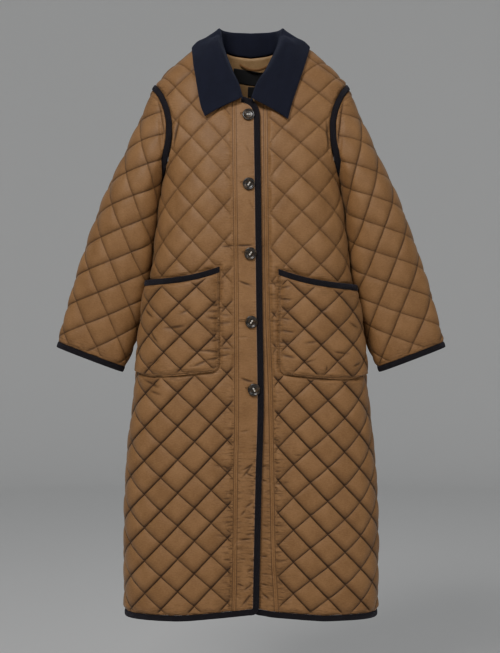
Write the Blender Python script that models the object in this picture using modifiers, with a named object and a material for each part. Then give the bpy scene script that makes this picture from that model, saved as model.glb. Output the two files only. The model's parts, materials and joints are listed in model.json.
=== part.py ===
"""A long quilted coat, filled out as worn with nobody in it.

Metres, +Z up. The front faces -Y and the wearer's right side is -X. The origin
is the middle of the shoulders at the height of the neck's side points.
Each piece of cloth is drawn flat, in (across, up) coordinates on the surface it
hangs in, and is then carried to that surface as a closed wall.
"""

import math
from collections import namedtuple

import bmesh
import bpy
import numpy as np
from mathutils import Vector, geometry

RIGHT, LEFT = -1, 1  # the wearer's sides, as the sign of x
FRONT, BACK = -1, 1  # the sign of y

# ---------------------------------------------------------------- sizes
SEAM_GAP = 0.0003
WALL = 0.0024  # quilted cloth at a stitch line
PUFF = 0.0046  # how far a diamond's middle stands above its stitch lines
PUFF_SHARE = 0.46  # size of a diamond's raised middle, as a share of the diamond
PUFF_MARGIN = 0.007  # a raised point keeps this far from an edge
SHORTEST_EDGE = 0.0020  # points where stitch lines cross an edge are merged within this
PLAIN_ROWS = 4  # the plain inside has points on one row of crossings in this many
CLOSE_ROWS = 2  # and in this many on sleeves and pockets, and above CLOSE_Z
CLOSE_Z = -0.36
DIAMOND_HALF_WIDTH = 0.0335
DIAMOND_HALF_HEIGHT = 0.0329
CHEST_STRETCH = 1.07  # diamonds above the waist are this much taller
EDGE_STEP = 0.036  # spacing of the points along a bound edge
SEAM_STEP = 0.090  # and along a straight seam, where the stitch lines add their own

BINDING_WIDTH = 0.012
BINDING_THICKNESS = 0.0046
BINDING_PROUD = 0.0016  # how far a binding stands above the cloth beside it

HEM_Z = -1.184
HEM_RISE = 0.014  # the hem is this much higher at the centre front
HEM_RISE_REACH = 0.15
YOKE_Z = -0.12  # above this height the cloth turns over the shoulders

UNDER_LAP_DROP = 0.0066  # how far the left front lies behind the right one
LAP_SPARE = 0.003  # it lies that far back until this far past the right front's edge
LAP_RAMP = 0.009  # and comes up to the right front's level over this
PLACKET_WIDTH = 0.052

BUTTON_RADIUS = 0.0125

# ---------------------------------------------------------------- tables
Section = namedtuple("Section", "z half_width front back front_power back_power")
TORSO = [
    Section(-1.260, 0.2595, 0.106, 0.105, 3.3, 3.3),
    Section(-1.035, 0.2600, 0.110, 0.108, 3.3, 3.3),
    Section(-0.910, 0.2575, 0.112, 0.110, 3.3, 3.3),
    Section(-0.827, 0.2510, 0.114, 0.111, 3.3, 3.3),
    Section(-0.744, 0.2410, 0.116, 0.112, 3.3, 3.2),
    Section(-0.673, 0.2335, 0.117, 0.112, 3.3, 3.1),
    Section(-0.5875, 0.2220, 0.118, 0.110, 3.2, 3.0),
    Section(-0.502, 0.2075, 0.120, 0.107, 3.0, 2.9),
    Section(-0.460, 0.2015, 0.121, 0.106, 2.9, 2.8),
    Section(-0.396, 0.1960, 0.123, 0.107, 2.7, 2.6),
    Section(-0.333, 0.1890, 0.124, 0.109, 2.6, 2.5),
    Section(-0.300, 0.1850, 0.123, 0.110, 2.5, 2.5),
    Section(-0.250, 0.1890, 0.118, 0.111, 2.45, 2.45),
    Section(-0.200, 0.1955, 0.109, 0.110, 2.4, 2.4),
    Section(-0.150, 0.2000, 0.096, 0.105, 2.35, 2.35),
    Section(-0.098, 0.2010, 0.083, 0.094, 2.25, 2.25),
    Section(-0.0771, 0.1860, 0.078, 0.088, 2.2, 2.2),
    Section(-0.0562, 0.1665, 0.073, 0.082, 2.15, 2.15),
    Section(-0.0354, 0.1415, 0.067, 0.074, 2.1, 2.1),
    Section(-0.0146, 0.1165, 0.058, 0.064, 2.05, 2.05),
    Section(0.000, 0.0705, 0.050, 0.056, 2.0, 2.0),
]

# The neck edge, from the centre line up to the side of the neck.
Edge = namedtuple("Edge", "x z")
NECK_FRONT = [
    Edge(0.0, -0.1280), Edge(0.018, -0.1240), Edge(0.031, -0.1145), Edge(0.050, -0.090),
    Edge(0.066, -0.060), Edge(0.0735, -0.030), Edge(0.0712, 0.0),
]
NECK_BACK = [Edge(0.0, -0.0200), Edge(0.035, -0.0160), Edge(0.058, -0.0090), Edge(0.0712, 0.0)]

# Where a sleeve is set in: the body's edge, on the front and on the back.
Armhole = namedtuple("Armhole", "z front_x back_x")
ARMHOLE = [
    Armhole(-0.0925, 0.1966, 0.1966), Armhole(-0.105, 0.1860, 0.1895), Armhole(-0.120, 0.1770, 0.1850),
    Armhole(-0.150, 0.1655, 0.1790), Armhole(-0.180, 0.1602, 0.1750), Armhole(-0.210, 0.1610, 0.1745),
    Armhole(-0.240, 0.1665, 0.1760), Armhole(-0.270, 0.1745, 0.1790), Armhole(-0.302, 0.1850, 0.1850),
]

# Distance from the centre front. A negative one is past it, under or over the other front.
Lap = namedtuple("Lap", "z right_seam right_edge left_seam")
LAPS = [
    Lap(-1.220, 0.0350, -0.0155, 0.0530), Lap(-1.140, 0.0340, -0.0165, 0.0500),
    Lap(-1.060, 0.0325, -0.0180, 0.0450), Lap(-0.900, 0.0310, -0.0215, 0.0420),
    Lap(-0.740, 0.0285, -0.0255, 0.0395), Lap(-0.540, 0.0290, -0.0228, 0.0325),
    Lap(-0.330, 0.0315, -0.0202, 0.0300), Lap(-0.150, 0.0335, -0.0180, 0.0285),
    Lap(-0.100, 0.0340, -0.0180, 0.0280),
]

# How the quilting leans: at the chest it lies this far from where it lies at the hem.
Lean = namedtuple("Lean", "z right left")
LEAN = [Lean(-1.20, 0.0, 0.0), Lean(-0.72, 0.0, 0.0), Lean(-0.44, 0.004, -0.015), Lean(0.05, 0.005, -0.015)]

# One crossing of stitch lines on each piece, from which the rest are counted.
Crossing = namedtuple("Crossing", "across up")
QUILT_START = {
    "front_right": Crossing(0.0470, -0.7513),
    "front_left": Crossing(0.0540, -0.7016),
    "back": Crossing(0.0, -0.7350),
    "pocket_right": Crossing(0.1070, -0.5776),
    "pocket_left": Crossing(0.1060, -0.5956),
    "sleeve_right": Crossing(0.0850, 0.1300),
    "sleeve_left": Crossing(0.0850, 0.1300),
}

# The buttons, top to bottom. lift is how far one lies off the placket.
Button = namedtuple("Button", "x z lift")
BUTTONS = [
    Button(-0.0048, -0.1650, 0.0004), Button(-0.0040, -0.3060, 0.0), Button(-0.0010, -0.4450, 0.0004),
    Button(0.0010, -0.5816, 0.0005), Button(0.0060, -0.7170, 0.0014),
]

Pocket = namedtuple(
    "Pocket", "side inner mouth_inner mouth_outer mouth_power bottom_inner bottom_middle bottom_outer")
POCKETS = [
    Pocket(RIGHT, 0.0630, -0.4705, -0.4985, 3.0, -0.6790, -0.6915, -0.6800),
    Pocket(LEFT, 0.0550, -0.4755, -0.5085, 2.6, -0.6850, -0.6970, -0.6860),
]
POCKET_CORNER = 0.022
POCKET_LIFT = 0.0034  # the pocket's inside clears the front by this
POCKET_BELLY = 0.0145  # and by this much more in the middle of its mouth
POCKET_RIM = 0.0008
POCKET_SIDE_GAP = 0.010  # from the side seam
POCKET_CREASES = (0.012, 0.030, 0.048, 0.066, 0.086)  # from its outer edge, where the front turns

# The sleeve's outer and inner lines, seen from the front, from the shoulder to the cuff.
Line = namedtuple("Line", "x z")
SLEEVE_OUTER = [
    Line(0.2035, -0.1005), Line(0.2090, -0.1187), Line(0.2265, -0.160), Line(0.2465, -0.202),
    Line(0.2655, -0.2437), Line(0.2860, -0.2854), Line(0.3045, -0.327), Line(0.3360, -0.410),
    Line(0.3650, -0.4937), Line(0.3880, -0.577), Line(0.4040, -0.6333),
]
SLEEVE_INNER = [
    Line(0.1965, -0.2975), Line(0.2035, -0.330), Line(0.2105, -0.396), Line(0.2190, -0.460),
    Line(0.2265, -0.520), Line(0.2350, -0.590), Line(0.2490, -0.640), Line(0.2680, -0.6850),
]
Girth = namedtuple("Girth", "along front back power")
SLEEVE_DEPTH = [
    Girth(0.0, 0.072, 0.082, 2.1), Girth(0.15, 0.076, 0.082, 2.2), Girth(0.35, 0.070, 0.074, 2.3),
    Girth(0.60, 0.054, 0.056, 2.3), Girth(0.85, 0.036, 0.036, 2.4), Girth(1.0, 0.029, 0.029, 2.5),
]
CAP_BLEND = 0.45  # over this share of its length the sleeve leaves the armhole's shape
ARMHOLE_TAPE = 0.0120
ARMHOLE_STEPS = 16  # from the shoulder tip to the underarm, alike on body, tape and sleeve

# The collar, as sections from a front end round to the centre back: the neck edge,
# the fold on top and the loose outer edge.
Fold = namedtuple("Fold", "neck_x neck_z fold_x fold_y fold_z edge_x edge_z")
COLLAR_FRONT_RIGHT = [
    Fold(0.0190, -0.1235, 0.0185, -0.0990, -0.1160, 0.0905, -0.1640),
    Fold(0.0330, -0.1125, 0.0270, -0.0900, -0.1000, 0.0985, -0.1480),
    Fold(0.0500, -0.0900, 0.0380, -0.0740, -0.0740, 0.1035, -0.1245),
    Fold(0.0660, -0.0600, 0.0510, -0.0530, -0.0380, 0.1095, -0.0880),
    Fold(0.0735, -0.0300, 0.0610, -0.0270, -0.0040, 0.1145, -0.0560),
]
COLLAR_FRONT_LEFT = [
    Fold(0.0030, -0.1270, 0.0030, -0.0985, -0.1180, 0.0725, -0.1705),
    Fold(0.0240, -0.1200, 0.0150, -0.0900, -0.0970, 0.0800, -0.1450),
    Fold(0.0500, -0.0900, 0.0310, -0.0740, -0.0700, 0.0905, -0.1120),
    Fold(0.0660, -0.0600, 0.0460, -0.0530, -0.0380, 0.1030, -0.0730),
    Fold(0.0735, -0.0300, 0.0590, -0.0270, -0.0040, 0.1110, -0.0450),
]
COLLAR_BACK = [
    Fold(0.0712, 0.0, 0.0660, 0.0050, 0.0300, 0.1170, -0.0180),
    Fold(0.0620, -0.0072, 0.0610, 0.0370, 0.0330, 0.1130, -0.0300),
    Fold(0.0350, -0.0160, 0.0360, 0.0640, 0.0335, 0.0680, -0.0430),
    Fold(0.0, -0.0200, 0.0, 0.0710, 0.0335, 0.0, -0.0480),
]
COLLAR_THICKNESS = 0.0032
COLLAR_CLEARANCE = 0.0110  # of the collar's middle from the cloth it lies over
COLLAR_SEAM = 0.0056
COLLAR_INSET = 0.0016
COLLAR_ROLL = 0.0055

LOOP_SPAN = (-0.023, 0.042)
LOOP_SAG = 0.0105
LOOP_WIDTH = 0.0055
LOOP_STAND_OFF = 0.0110  # of its middle from the back's stitch lines
LOOP_SEAT = 0.0038  # and of its ends
Patch = namedtuple("Patch", "name x z width height tilt thickness")
LABEL = Patch("neck_label", -0.006, -0.0570, 0.066, 0.030, -0.165, 0.0009)
SIZE_TAB = Patch("size_tab", 0.0011, -0.0865, 0.015, 0.021, -0.03, 0.0009)
LABEL_DEPTH = 0.0038  # from the back's stitch lines inwards

# ---------------------------------------------------------------- colours
Finish = namedtuple("Finish", "colour roughness sheen")
FINISHES = {
    "quilted_satin": Finish((0.205, 0.112, 0.050), 0.42, 0.3),
    "plain_satin": Finish((0.215, 0.118, 0.052), 0.45, 0.3),
    "collar_cord": Finish((0.013, 0.015, 0.028), 0.85, 0.5),
    "navy_tape": Finish((0.010, 0.010, 0.019), 0.80, 0.3),
    "horn": Finish((0.055, 0.032, 0.018), 0.25, 0.0),
    "label_black": Finish((0.012, 0.012, 0.013), 0.75, 0.2),
}


def curve_through(points):
    """A smooth curve through (x, y) points that never overshoots them."""
    xs, ys = np.array(sorted(points), dtype=float).T
    steps = np.diff(xs)
    slopes = np.diff(ys) / steps
    tangents = np.empty_like(ys)
    tangents[0], tangents[-1] = slopes[0], slopes[-1]
    for i in range(1, len(xs) - 1):
        before, after = slopes[i - 1], slopes[i]
        if before * after <= 0:
            tangents[i] = 0.0
            continue
        near = 2 * steps[i] + steps[i - 1]
        far = steps[i] + 2 * steps[i - 1]
        tangents[i] = (near + far) / (near / before + far / after)

    def value(x):
        x = np.clip(x, xs[0], xs[-1])
        i = np.clip(np.searchsorted(xs, x) - 1, 0, len(steps) - 1)
        t = (x - xs[i]) / steps[i]
        rise = t * t * (3 - 2 * t)
        ends = ys[i] * (1 - rise) + ys[i + 1] * rise
        bend = t * (1 - t) ** 2 * tangents[i] - t * t * (1 - t) * tangents[i + 1]
        return ends + steps[i] * bend

    return value


def column(table, key, name):
    return curve_through([(getattr(row, key), getattr(row, name)) for row in table])


def smoothstep(x):
    x = np.clip(x, 0.0, 1.0)
    return x * x * (3 - 2 * x)


# ---------------------------------------------------------------- the body's surface
HALF_WIDTH = column(TORSO, "z", "half_width")
DEPTH = {FRONT: column(TORSO, "z", "front"), BACK: column(TORSO, "z", "back")}
POWER = {FRONT: column(TORSO, "z", "front_power"), BACK: column(TORSO, "z", "back_power")}
QUARTER_STEPS = 72
RISE_STEPS = 60
PROBE = 0.001
SHOULDER_LOW = -0.098
SEAM_EASE = 0.007  # within this of the plane between front and back both face the same way


def ridge_z(x):
    """Height of the shoulders' ridge at a distance x from the middle."""
    heights = np.linspace(SHOULDER_LOW, 0, 500)
    return float(np.interp(x, HALF_WIDTH(heights)[::-1], heights[::-1]))


def quarter(face, z):
    """x, depth and distance round the section at z, from its centre line to its side."""
    turn = np.linspace(0, math.pi / 2, QUARTER_STEPS)
    power = POWER[face](z)
    reach = (np.sin(turn) / HALF_WIDTH(z)) ** power + (np.cos(turn) / DEPTH[face](z)) ** power
    reach = reach ** (-1 / power)
    x, y = reach * np.sin(turn), reach * np.cos(turn)
    return x, y, np.concatenate([[0], np.cumsum(np.hypot(np.diff(x), np.diff(y)))])


def depth_at(face, x, z):
    power = POWER[face](z)
    share = np.clip(np.abs(x) / HALF_WIDTH(z), 0, 1)
    return DEPTH[face](z) * np.clip(1 - share**power, 0, 1) ** (1 / power)


def girth(face, z):
    """Distance round from the centre line to the side seam."""
    return quarter(face, z)[2][-1]


def rise(face, x):
    """Heights above x from the yoke to the shoulder ridge, and the cloth's length up to each."""
    top = ridge_z(x)
    z = YOKE_Z + (top - YOKE_Z) * np.sin(np.linspace(0, math.pi / 2, RISE_STEPS))
    y = depth_at(face, x, z)
    return z, YOKE_Z + np.concatenate([[0], np.cumsum(np.hypot(np.diff(z), np.diff(y)))])


def flat_of(face, x, z):
    """Flat coordinates of the point of the surface at x and z."""
    if z <= YOKE_Z:
        xs, _, lengths = quarter(face, z)
        return float(np.interp(x, xs, lengths)), z
    xs, _, lengths = quarter(face, YOKE_Z)
    heights, up = rise(face, x)
    return float(np.interp(x, xs, lengths)), float(np.interp(z, heights, up))


def body_point(face, across, up):
    side = math.copysign(1, across)
    height = min(up, YOKE_Z)
    xs, ys, lengths = quarter(face, height)
    x = float(np.interp(abs(across), lengths, xs))
    if up <= YOKE_Z:
        z, y = up, float(np.interp(abs(across), lengths, ys))
    else:
        heights, lifts = rise(face, x)
        z = float(np.interp(up, lifts, heights))
        y = float(depth_at(face, x, z))
    return Vector((side * x, face * max(y, SEAM_GAP / 2), z))


def body_frame(face, across, up):
    """A point of the body's surface and the direction out of it."""
    here = body_point(face, across, up)
    side = math.copysign(1, across)
    inwards = body_point(face, across - side * PROBE, up)
    below = body_point(face, across, up - PROBE)
    out = ((here - inwards) * side).cross(here - below) * -face
    out.normalize()
    facing = Vector((out.x, 0, out.z))
    if up > YOKE_Z:
        x = abs(here.x)
        facing = Vector((side * (ridge_z(x - PROBE) - ridge_z(x)), 0, PROBE)).normalized()
    return here, facing.lerp(out, float(smoothstep(abs(here.y) / SEAM_EASE))).normalized()


# ---------------------------------------------------------------- edges of the pieces
NECK = {FRONT: NECK_FRONT, BACK: NECK_BACK}
ARMHOLE_X = {FRONT: column(ARMHOLE, "z", "front_x"), BACK: column(ARMHOLE, "z", "back_x")}
SEAM = {RIGHT: column(LAPS, "z", "right_seam"), LEFT: column(LAPS, "z", "left_seam")}
RIGHT_EDGE = column(LAPS, "z", "right_edge")


def closing_edge(side, z):
    """The outer edge of a front, measured from the centre front, negative past it."""
    return float(RIGHT_EDGE(z)) if side == RIGHT else float(SEAM[LEFT](z)) - PLACKET_WIDTH


def hem_height(across):
    return HEM_Z + HEM_RISE * max(0.0, 1 - abs(across) / HEM_RISE_REACH) ** 1.2


def neck_points(face, first_x, count):
    """The neck edge from first_x up to the side of the neck, as flat points."""
    rows = NECK[face]
    steps = [math.hypot(b.x - a.x, b.z - a.z) for a, b in zip(rows, rows[1:])]
    lengths = np.concatenate([[0], np.cumsum(steps)])
    x_at = curve_through(list(zip(lengths, [row.x for row in rows])))
    z_at = curve_through(list(zip(lengths, [row.z for row in rows])))
    fine = np.linspace(0, lengths[-1], 400)
    start = fine[np.argmax(x_at(fine) >= first_x)]
    return [flat_of(face, float(x_at(t)), float(z_at(t))) for t in np.linspace(start, lengths[-1], count)]


def shoulder_points(face, count):
    """The shoulder seam from the neck down to the armhole."""
    xs = np.linspace(NECK[face][-1].x, ARMHOLE[0].front_x, count)
    return [shrunk(flat_of(face, float(x), ridge_z(x))) for x in xs]


def shrunk(point):
    """The same point half a seam's gap lower, for the two sides of a shoulder seam."""
    return point[0], point[1] - SEAM_GAP / 2


def armhole_spot(face, turn):
    """The body's edge at the armhole, from the shoulder tip at 0 to the underarm at pi."""
    tip, low = ridge_z(ARMHOLE[0].front_x), ARMHOLE[-1].z
    z = (tip + low) / 2 + (tip - low) / 2 * math.cos(turn)
    return flat_of(face, float(ARMHOLE_X[face](z)), z)


def armhole_points(face):
    return [armhole_spot(face, turn) for turn in np.linspace(0, math.pi, ARMHOLE_STEPS + 1)]


def side_points(face, top, bottom):
    count = max(2, round((top - bottom) / SEAM_STEP) + 1)
    return [(girth(face, z) - SEAM_GAP / 2, float(z)) for z in np.linspace(top, bottom, count)]


def bend(start, corner, end, count):
    """A rounded corner, without its two ends."""
    points = []
    for t in np.linspace(0, 1, count + 2)[1:-1]:
        points.append(tuple((1 - t) ** 2 * a + 2 * t * (1 - t) * b + t * t * c
                            for a, b, c in zip(start, corner, end)))
    return points


def finished_edge(side):
    """The bound edge of a front: neck corner, front edge, bottom corner and hem."""
    neck_x = 0.0180 if side == RIGHT else 0.0030
    neck = (neck_x, -0.1262)
    edge_top = -0.170
    edge_bottom = HEM_Z + HEM_RISE + 0.020
    upper = (closing_edge(side, edge_top), edge_top)
    lower = (closing_edge(side, edge_bottom), edge_bottom)
    hem_start = lower[0] + 0.020
    heights = np.linspace(edge_top, edge_bottom, 19)
    path = [neck, *bend(neck, (upper[0], -0.132), upper, 5)]
    path += [(closing_edge(side, z), float(z)) for z in heights]
    corner = (closing_edge(side, HEM_Z), hem_height(lower[0]))
    path += bend(lower, corner, (hem_start, hem_height(hem_start)), 3)
    end = girth(FRONT, HEM_Z) - SEAM_GAP / 2
    count = round((end - hem_start) / EDGE_STEP) + 1
    path += [(float(u), hem_height(u)) for u in np.linspace(hem_start, end, count)]
    return path


def moved_in(path, distance):
    """The path shifted to its left by distance."""
    points = np.array(path)
    along = np.gradient(points, axis=0)
    along /= np.linalg.norm(along, axis=1)[:, None]
    return [tuple(p) for p in points + distance * np.stack([-along[:, 1], along[:, 0]], axis=1)]


def inside_edge(side):
    """Where the cloth of a front ends and its binding starts."""
    path = moved_in(finished_edge(side), BINDING_WIDTH)
    end = girth(FRONT, HEM_Z) - SEAM_GAP / 2
    path[-1] = (end, path[-1][1])
    return path


def under_drop(side, across, up):
    """How far a point of the left front lies behind the right front that laps over it."""
    if side == RIGHT:
        return 0.0
    covered = LAP_SPARE - closing_edge(RIGHT, up)
    return UNDER_LAP_DROP * (1 - float(smoothstep((across - covered) / LAP_RAMP)))


def pocket_edges(pocket):
    """A pocket's outline: its mouth from the inner corner out, then its sewn edge back."""
    height = pocket.mouth_inner
    outer = girth(FRONT, pocket.mouth_outer) - POCKET_SIDE_GAP
    width = outer - pocket.inner
    shares = np.linspace(0, 1, 8)
    drop = pocket.mouth_outer - height
    mouth = [(pocket.inner + f * width, height + drop * (1 - (1 - f) ** pocket.mouth_power)) for f in shares]
    bottom = curve_through([
        (0.0, pocket.bottom_inner), (0.62, pocket.bottom_middle), (1.0, pocket.bottom_outer)])
    low = float(bottom(1.0)) + 0.004
    heights = np.linspace(pocket.mouth_outer, low, 7)[1:]
    side = [(girth(FRONT, z) - POCKET_SIDE_GAP, float(z)) for z in heights]
    corner = POCKET_CORNER / width
    base = [(pocket.inner + f * width, float(bottom(f))) for f in np.linspace(0.985, corner, 15)]
    turn = (pocket.inner, base[-1][1] + POCKET_CORNER)
    base += bend(base[-1], (pocket.inner, base[-1][1]), turn, 3)
    inner = [(pocket.inner, float(z)) for z in np.linspace(turn[1], height, 7)[:-1]]
    return mouth, side + base + inner


def pocket_creases(pocket):
    """Lines down the outer part of a pocket, where front and pocket turn to the side together."""
    creases = []
    for distance in POCKET_CREASES:
        top = pocket.mouth_outer - BINDING_WIDTH - 0.004
        heights = np.linspace(top, pocket.bottom_outer + 0.006, 6)
        creases.append([(girth(FRONT, z) - POCKET_SIDE_GAP - distance, float(z)) for z in heights])
    return creases


def pocket_lift(pocket, across, up):
    """How far the pocket's inside stands off the front."""
    width = girth(FRONT, pocket.mouth_outer) - POCKET_SIDE_GAP - pocket.inner
    share = min(max((across - pocket.inner) / width, 0.0), 1.0)
    rise_share = min(max((up - pocket.bottom_middle) / (pocket.mouth_inner - pocket.bottom_middle), 0.0), 1.0)
    return POCKET_LIFT + POCKET_BELLY * math.sin(math.pi * share) ** 0.8 * rise_share**1.3


# ---------------------------------------------------------------- sleeves
def line_table(rows):
    points = np.array(rows, dtype=float)
    lengths = np.concatenate([[0], np.cumsum(np.linalg.norm(np.diff(points, axis=0), axis=1))])
    lengths /= lengths[-1]
    return [curve_through(list(zip(lengths, points[:, i]))) for i in (0, 1)]


OUTER_LINE = line_table(SLEEVE_OUTER)
INNER_LINE = line_table(SLEEVE_INNER)
SLEEVE_FRONT = column(SLEEVE_DEPTH, "along", "front")
SLEEVE_BACK = column(SLEEVE_DEPTH, "along", "back")
SLEEVE_POWER = column(SLEEVE_DEPTH, "along", "power")


def rounded(value, power):
    return np.sign(value) * np.abs(value) ** (2 / power)


def plain_ring(turn, along):
    """Points of the left sleeve's plain tube. turn is 0 on the outer line and pi on the inner."""
    outer = np.array([line(along) for line in OUTER_LINE])
    inner = np.array([line(along) for line in INNER_LINE])
    power = SLEEVE_POWER(along)
    middle, half = (outer + inner) / 2, (outer - inner) / 2
    reach = rounded(np.cos(turn), power)
    out = rounded(np.sin(turn), power)
    depth = np.where(out > 0, SLEEVE_FRONT(along), SLEEVE_BACK(along)) * -out
    return np.stack([middle[0] + half[0] * reach, depth, middle[1] + half[1] * reach], axis=-1)


def armhole_ring(turn):
    """The body's edge at the armhole, for the left side."""
    faces = [FRONT if math.sin(angle) >= 0 else BACK for angle in turn]
    return np.array([body_point(face, *armhole_spot(face, angle)) for face, angle in zip(faces, turn)])


def set_in_direction(turn):
    """Which way the sleeve leaves the body's edge."""
    level = np.cos(turn)
    x = 0.55 + 0.45 * (1 - np.abs(level))
    z = -0.86 * np.clip(level, 0, 1) ** 1.5 + 0.40 * np.clip(-level, 0, 1)
    directions = np.stack([x, np.zeros_like(x), z], axis=-1)
    return directions / np.linalg.norm(directions, axis=-1)[:, None]


def sleeve_grid(turns, alongs):
    """Points of the left sleeve on a grid of turns and shares of its length."""
    turns, alongs = np.asarray(turns), np.asarray(alongs)
    start = armhole_ring(turns) + set_in_direction(turns) * (ARMHOLE_TAPE + 3 * SEAM_GAP)
    shift = start - plain_ring(turns, 0.0)
    rings = []
    for along in alongs:
        fade = float(np.clip(1 - along / CAP_BLEND, 0, None)) ** 2
        rings.append(plain_ring(turns, max(along, 0.0)) + shift * fade)
    return np.array(rings)


class SleeveChart:
    """Flat coordinates of the left sleeve: across from the outer line, up from the cuff."""

    TURNS = 97
    ALONGS = 90
    LEVELS = 110
    SPARE = 0.05  # the chart reaches this far past the sleeve's cap

    def __init__(self):
        self.turns = np.linspace(-math.pi, math.pi, self.TURNS)
        alongs = np.linspace(0, 1, self.ALONGS)
        rings = sleeve_grid(self.turns, alongs)
        leaving = rings[0] - rings[1]
        first = rings[0] + leaving / np.linalg.norm(leaving, axis=1)[:, None] * self.SPARE
        rings = np.concatenate([first[None], rings])
        steps = np.linalg.norm(np.diff(rings, axis=0), axis=2)[::-1]
        heights = np.concatenate([np.zeros((1, self.TURNS)), np.cumsum(steps, axis=0)])
        self.cap = heights[-2]
        levels = np.linspace(0, heights[-1].max(), self.LEVELS)
        self.levels = levels
        self.points = np.empty((self.LEVELS, self.TURNS, 3))
        for j in range(self.TURNS):
            for axis in range(3):
                self.points[:, j, axis] = np.interp(levels, heights[:, j], rings[::-1, j, axis])
        chords = np.linalg.norm(np.diff(self.points, axis=1), axis=2)
        self.across = np.concatenate([np.zeros((self.LEVELS, 1)), np.cumsum(chords, axis=1)], axis=1)
        middle = self.TURNS // 2
        self.across -= self.across[:, middle:middle + 1]

    def row(self, up):
        place = np.clip(up / self.levels[-1] * (self.LEVELS - 1), 0, self.LEVELS - 1.001)
        low = int(place)
        share = place - low
        across = self.across[low] * (1 - share) + self.across[low + 1] * share
        return across, self.points[low] * (1 - share) + self.points[low + 1] * share

    def point(self, across, up):
        widths, points = self.row(up)
        return np.array([np.interp(across, widths, points[:, axis]) for axis in range(3)])

    def cap_edge(self, turn):
        """The flat point of the sleeve's upper edge at a turn."""
        up = float(np.interp(turn, self.turns, self.cap))
        return float(np.interp(turn, self.turns, self.row(up)[0])), up


def sleeve_frame(chart, side, across, up):
    here = chart.point(across, up)
    step = PROBE if across < 0 else -PROBE
    beside = chart.point(across + step, up)
    lift = PROBE if up < PROBE else -PROBE
    along = chart.point(across, up + lift)
    out = np.cross((along - here) / lift, (beside - here) / step)
    out /= np.linalg.norm(out)
    return Vector((side * here[0], here[1], here[2])), Vector((side * out[0], out[1], out[2]))


# ---------------------------------------------------------------- building cloth
def leaned(name, across, up):
    """Where a flat point lies in the quilting, which leans and stretches at the chest."""
    if name.startswith("front"):
        lean = column(LEAN, "z", "right" if name.endswith("right") else "left")
        across = across - float(lean(up))
    if name.startswith(("front", "back")) and up > -0.46:
        up = -0.46 + (up + 0.46) / CHEST_STRETCH
    return across, up


def unleaned(name, across, up):
    if name.startswith(("front", "back")) and up > -0.46:
        up = -0.46 + (up + 0.46) * CHEST_STRETCH
    if name.startswith("front"):
        lean = column(LEAN, "z", "right" if name.endswith("right") else "left")
        across = across + float(lean(up))
    return across, up


def quilt_lines(name, outline):
    """The stitch lines over an outline's box, as pairs of ends."""
    start = QUILT_START[name]
    points = np.array(outline)
    low, high = points.min(axis=0), points.max(axis=0)
    wide, tall = DIAMOND_HALF_WIDTH, DIAMOND_HALF_HEIGHT
    lines = []
    for slope in (1, -1):
        corners = [(x - start.across) / wide - slope * (y - start.up) / tall
                   for x in (low[0], high[0]) for y in (low[1], high[1])]
        for c in range(math.ceil(min(corners) / 2) * 2, math.floor(max(corners)) + 1, 2):
            ends = []
            for y in (low[1] - 0.01, high[1] + 0.01):
                ends.append((start.across + wide * (c + slope * (y - start.up) / tall), y))
            lines.append(ends)
    return lines


def raised_points(name, outline, blocked):
    """The corners of each diamond's raised middle that lie well inside the outline."""
    start = QUILT_START[name]
    points = np.array(outline)
    low, high = points.min(axis=0), points.max(axis=0)
    wide, tall = DIAMOND_HALF_WIDTH, DIAMOND_HALF_HEIGHT
    found = []
    columns = [(x - start.across) / wide for x in (low[0], high[0])]
    rows = [(y - start.up) / tall for y in (low[1], high[1])]
    for i in range(math.floor(columns[0]) - 1, math.ceil(columns[1]) + 2):
        for j in range(math.floor(rows[0]) - 1, math.ceil(rows[1]) + 2):
            if (i + j) % 2 == 0:
                continue
            for right, up in ((1, 0), (0, 1), (-1, 0), (0, -1)):
                x = start.across + wide * (i + PUFF_SHARE * right)
                y = start.up + tall * (j + PUFF_SHARE * up)
                clear = all(room(edge, x, y) < -PUFF_MARGIN for edge in blocked)
                if clear and room(outline, x, y) > PUFF_MARGIN:
                    found.append((x, y))
    return found


def room(outline, x, y):
    """Distance from a point to an outline, negative outside it."""
    a = np.array(outline)
    b = np.roll(a, -1, axis=0)
    side = b - a
    share = np.clip(((x - a[:, 0]) * side[:, 0] + (y - a[:, 1]) * side[:, 1]) / (side**2).sum(axis=1), 0, 1)
    near = np.hypot(a[:, 0] + share * side[:, 0] - x, a[:, 1] + share * side[:, 1] - y).min()
    crosses = (a[:, 1] > y) != (b[:, 1] > y)
    with np.errstate(divide="ignore", invalid="ignore"):
        meets = x < a[:, 0] + (y - a[:, 1]) / (b[:, 1] - a[:, 1]) * side[:, 0]
    return near if (crosses & meets).sum() % 2 else -near


def plain_points(name, outline):
    """Points for the plain inside, on rows of crossings and halfway between them."""
    start = QUILT_START[name]
    points = np.array(outline)
    low, high = points.min(axis=0), points.max(axis=0)
    found = []
    columns = [(x - start.across) / DIAMOND_HALF_WIDTH for x in (low[0], high[0])]
    rows = [(y - start.up) / DIAMOND_HALF_HEIGHT for y in (low[1], high[1])]
    for j in range(math.floor(rows[0]), math.ceil(rows[1])):
        up = start.up + DIAMOND_HALF_HEIGHT * j
        close = name.startswith(("sleeve", "pocket")) or up > CLOSE_Z
        if j % (CLOSE_ROWS if close else PLAIN_ROWS):
            continue
        for i in range(math.floor(columns[0]), math.ceil(columns[1])):
            across = start.across + DIAMOND_HALF_WIDTH * i
            if room(outline, across, up) > PUFF_MARGIN:
                found.append((across, up))
    return found


def delaunay(points, lines, outline_count):
    """Blender's triangulation inside an outline, whose points come first."""
    outline = list(range(outline_count))
    points = [Vector(p) for p in points]
    found = geometry.delaunay_2d_cdt(points, lines, [outline], 0, 1e-6)
    spots, edges, faces, origins, sources, owners = found
    return spots, edges, [face for face, owner in zip(faces, owners) if owner], origins, sources


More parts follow.
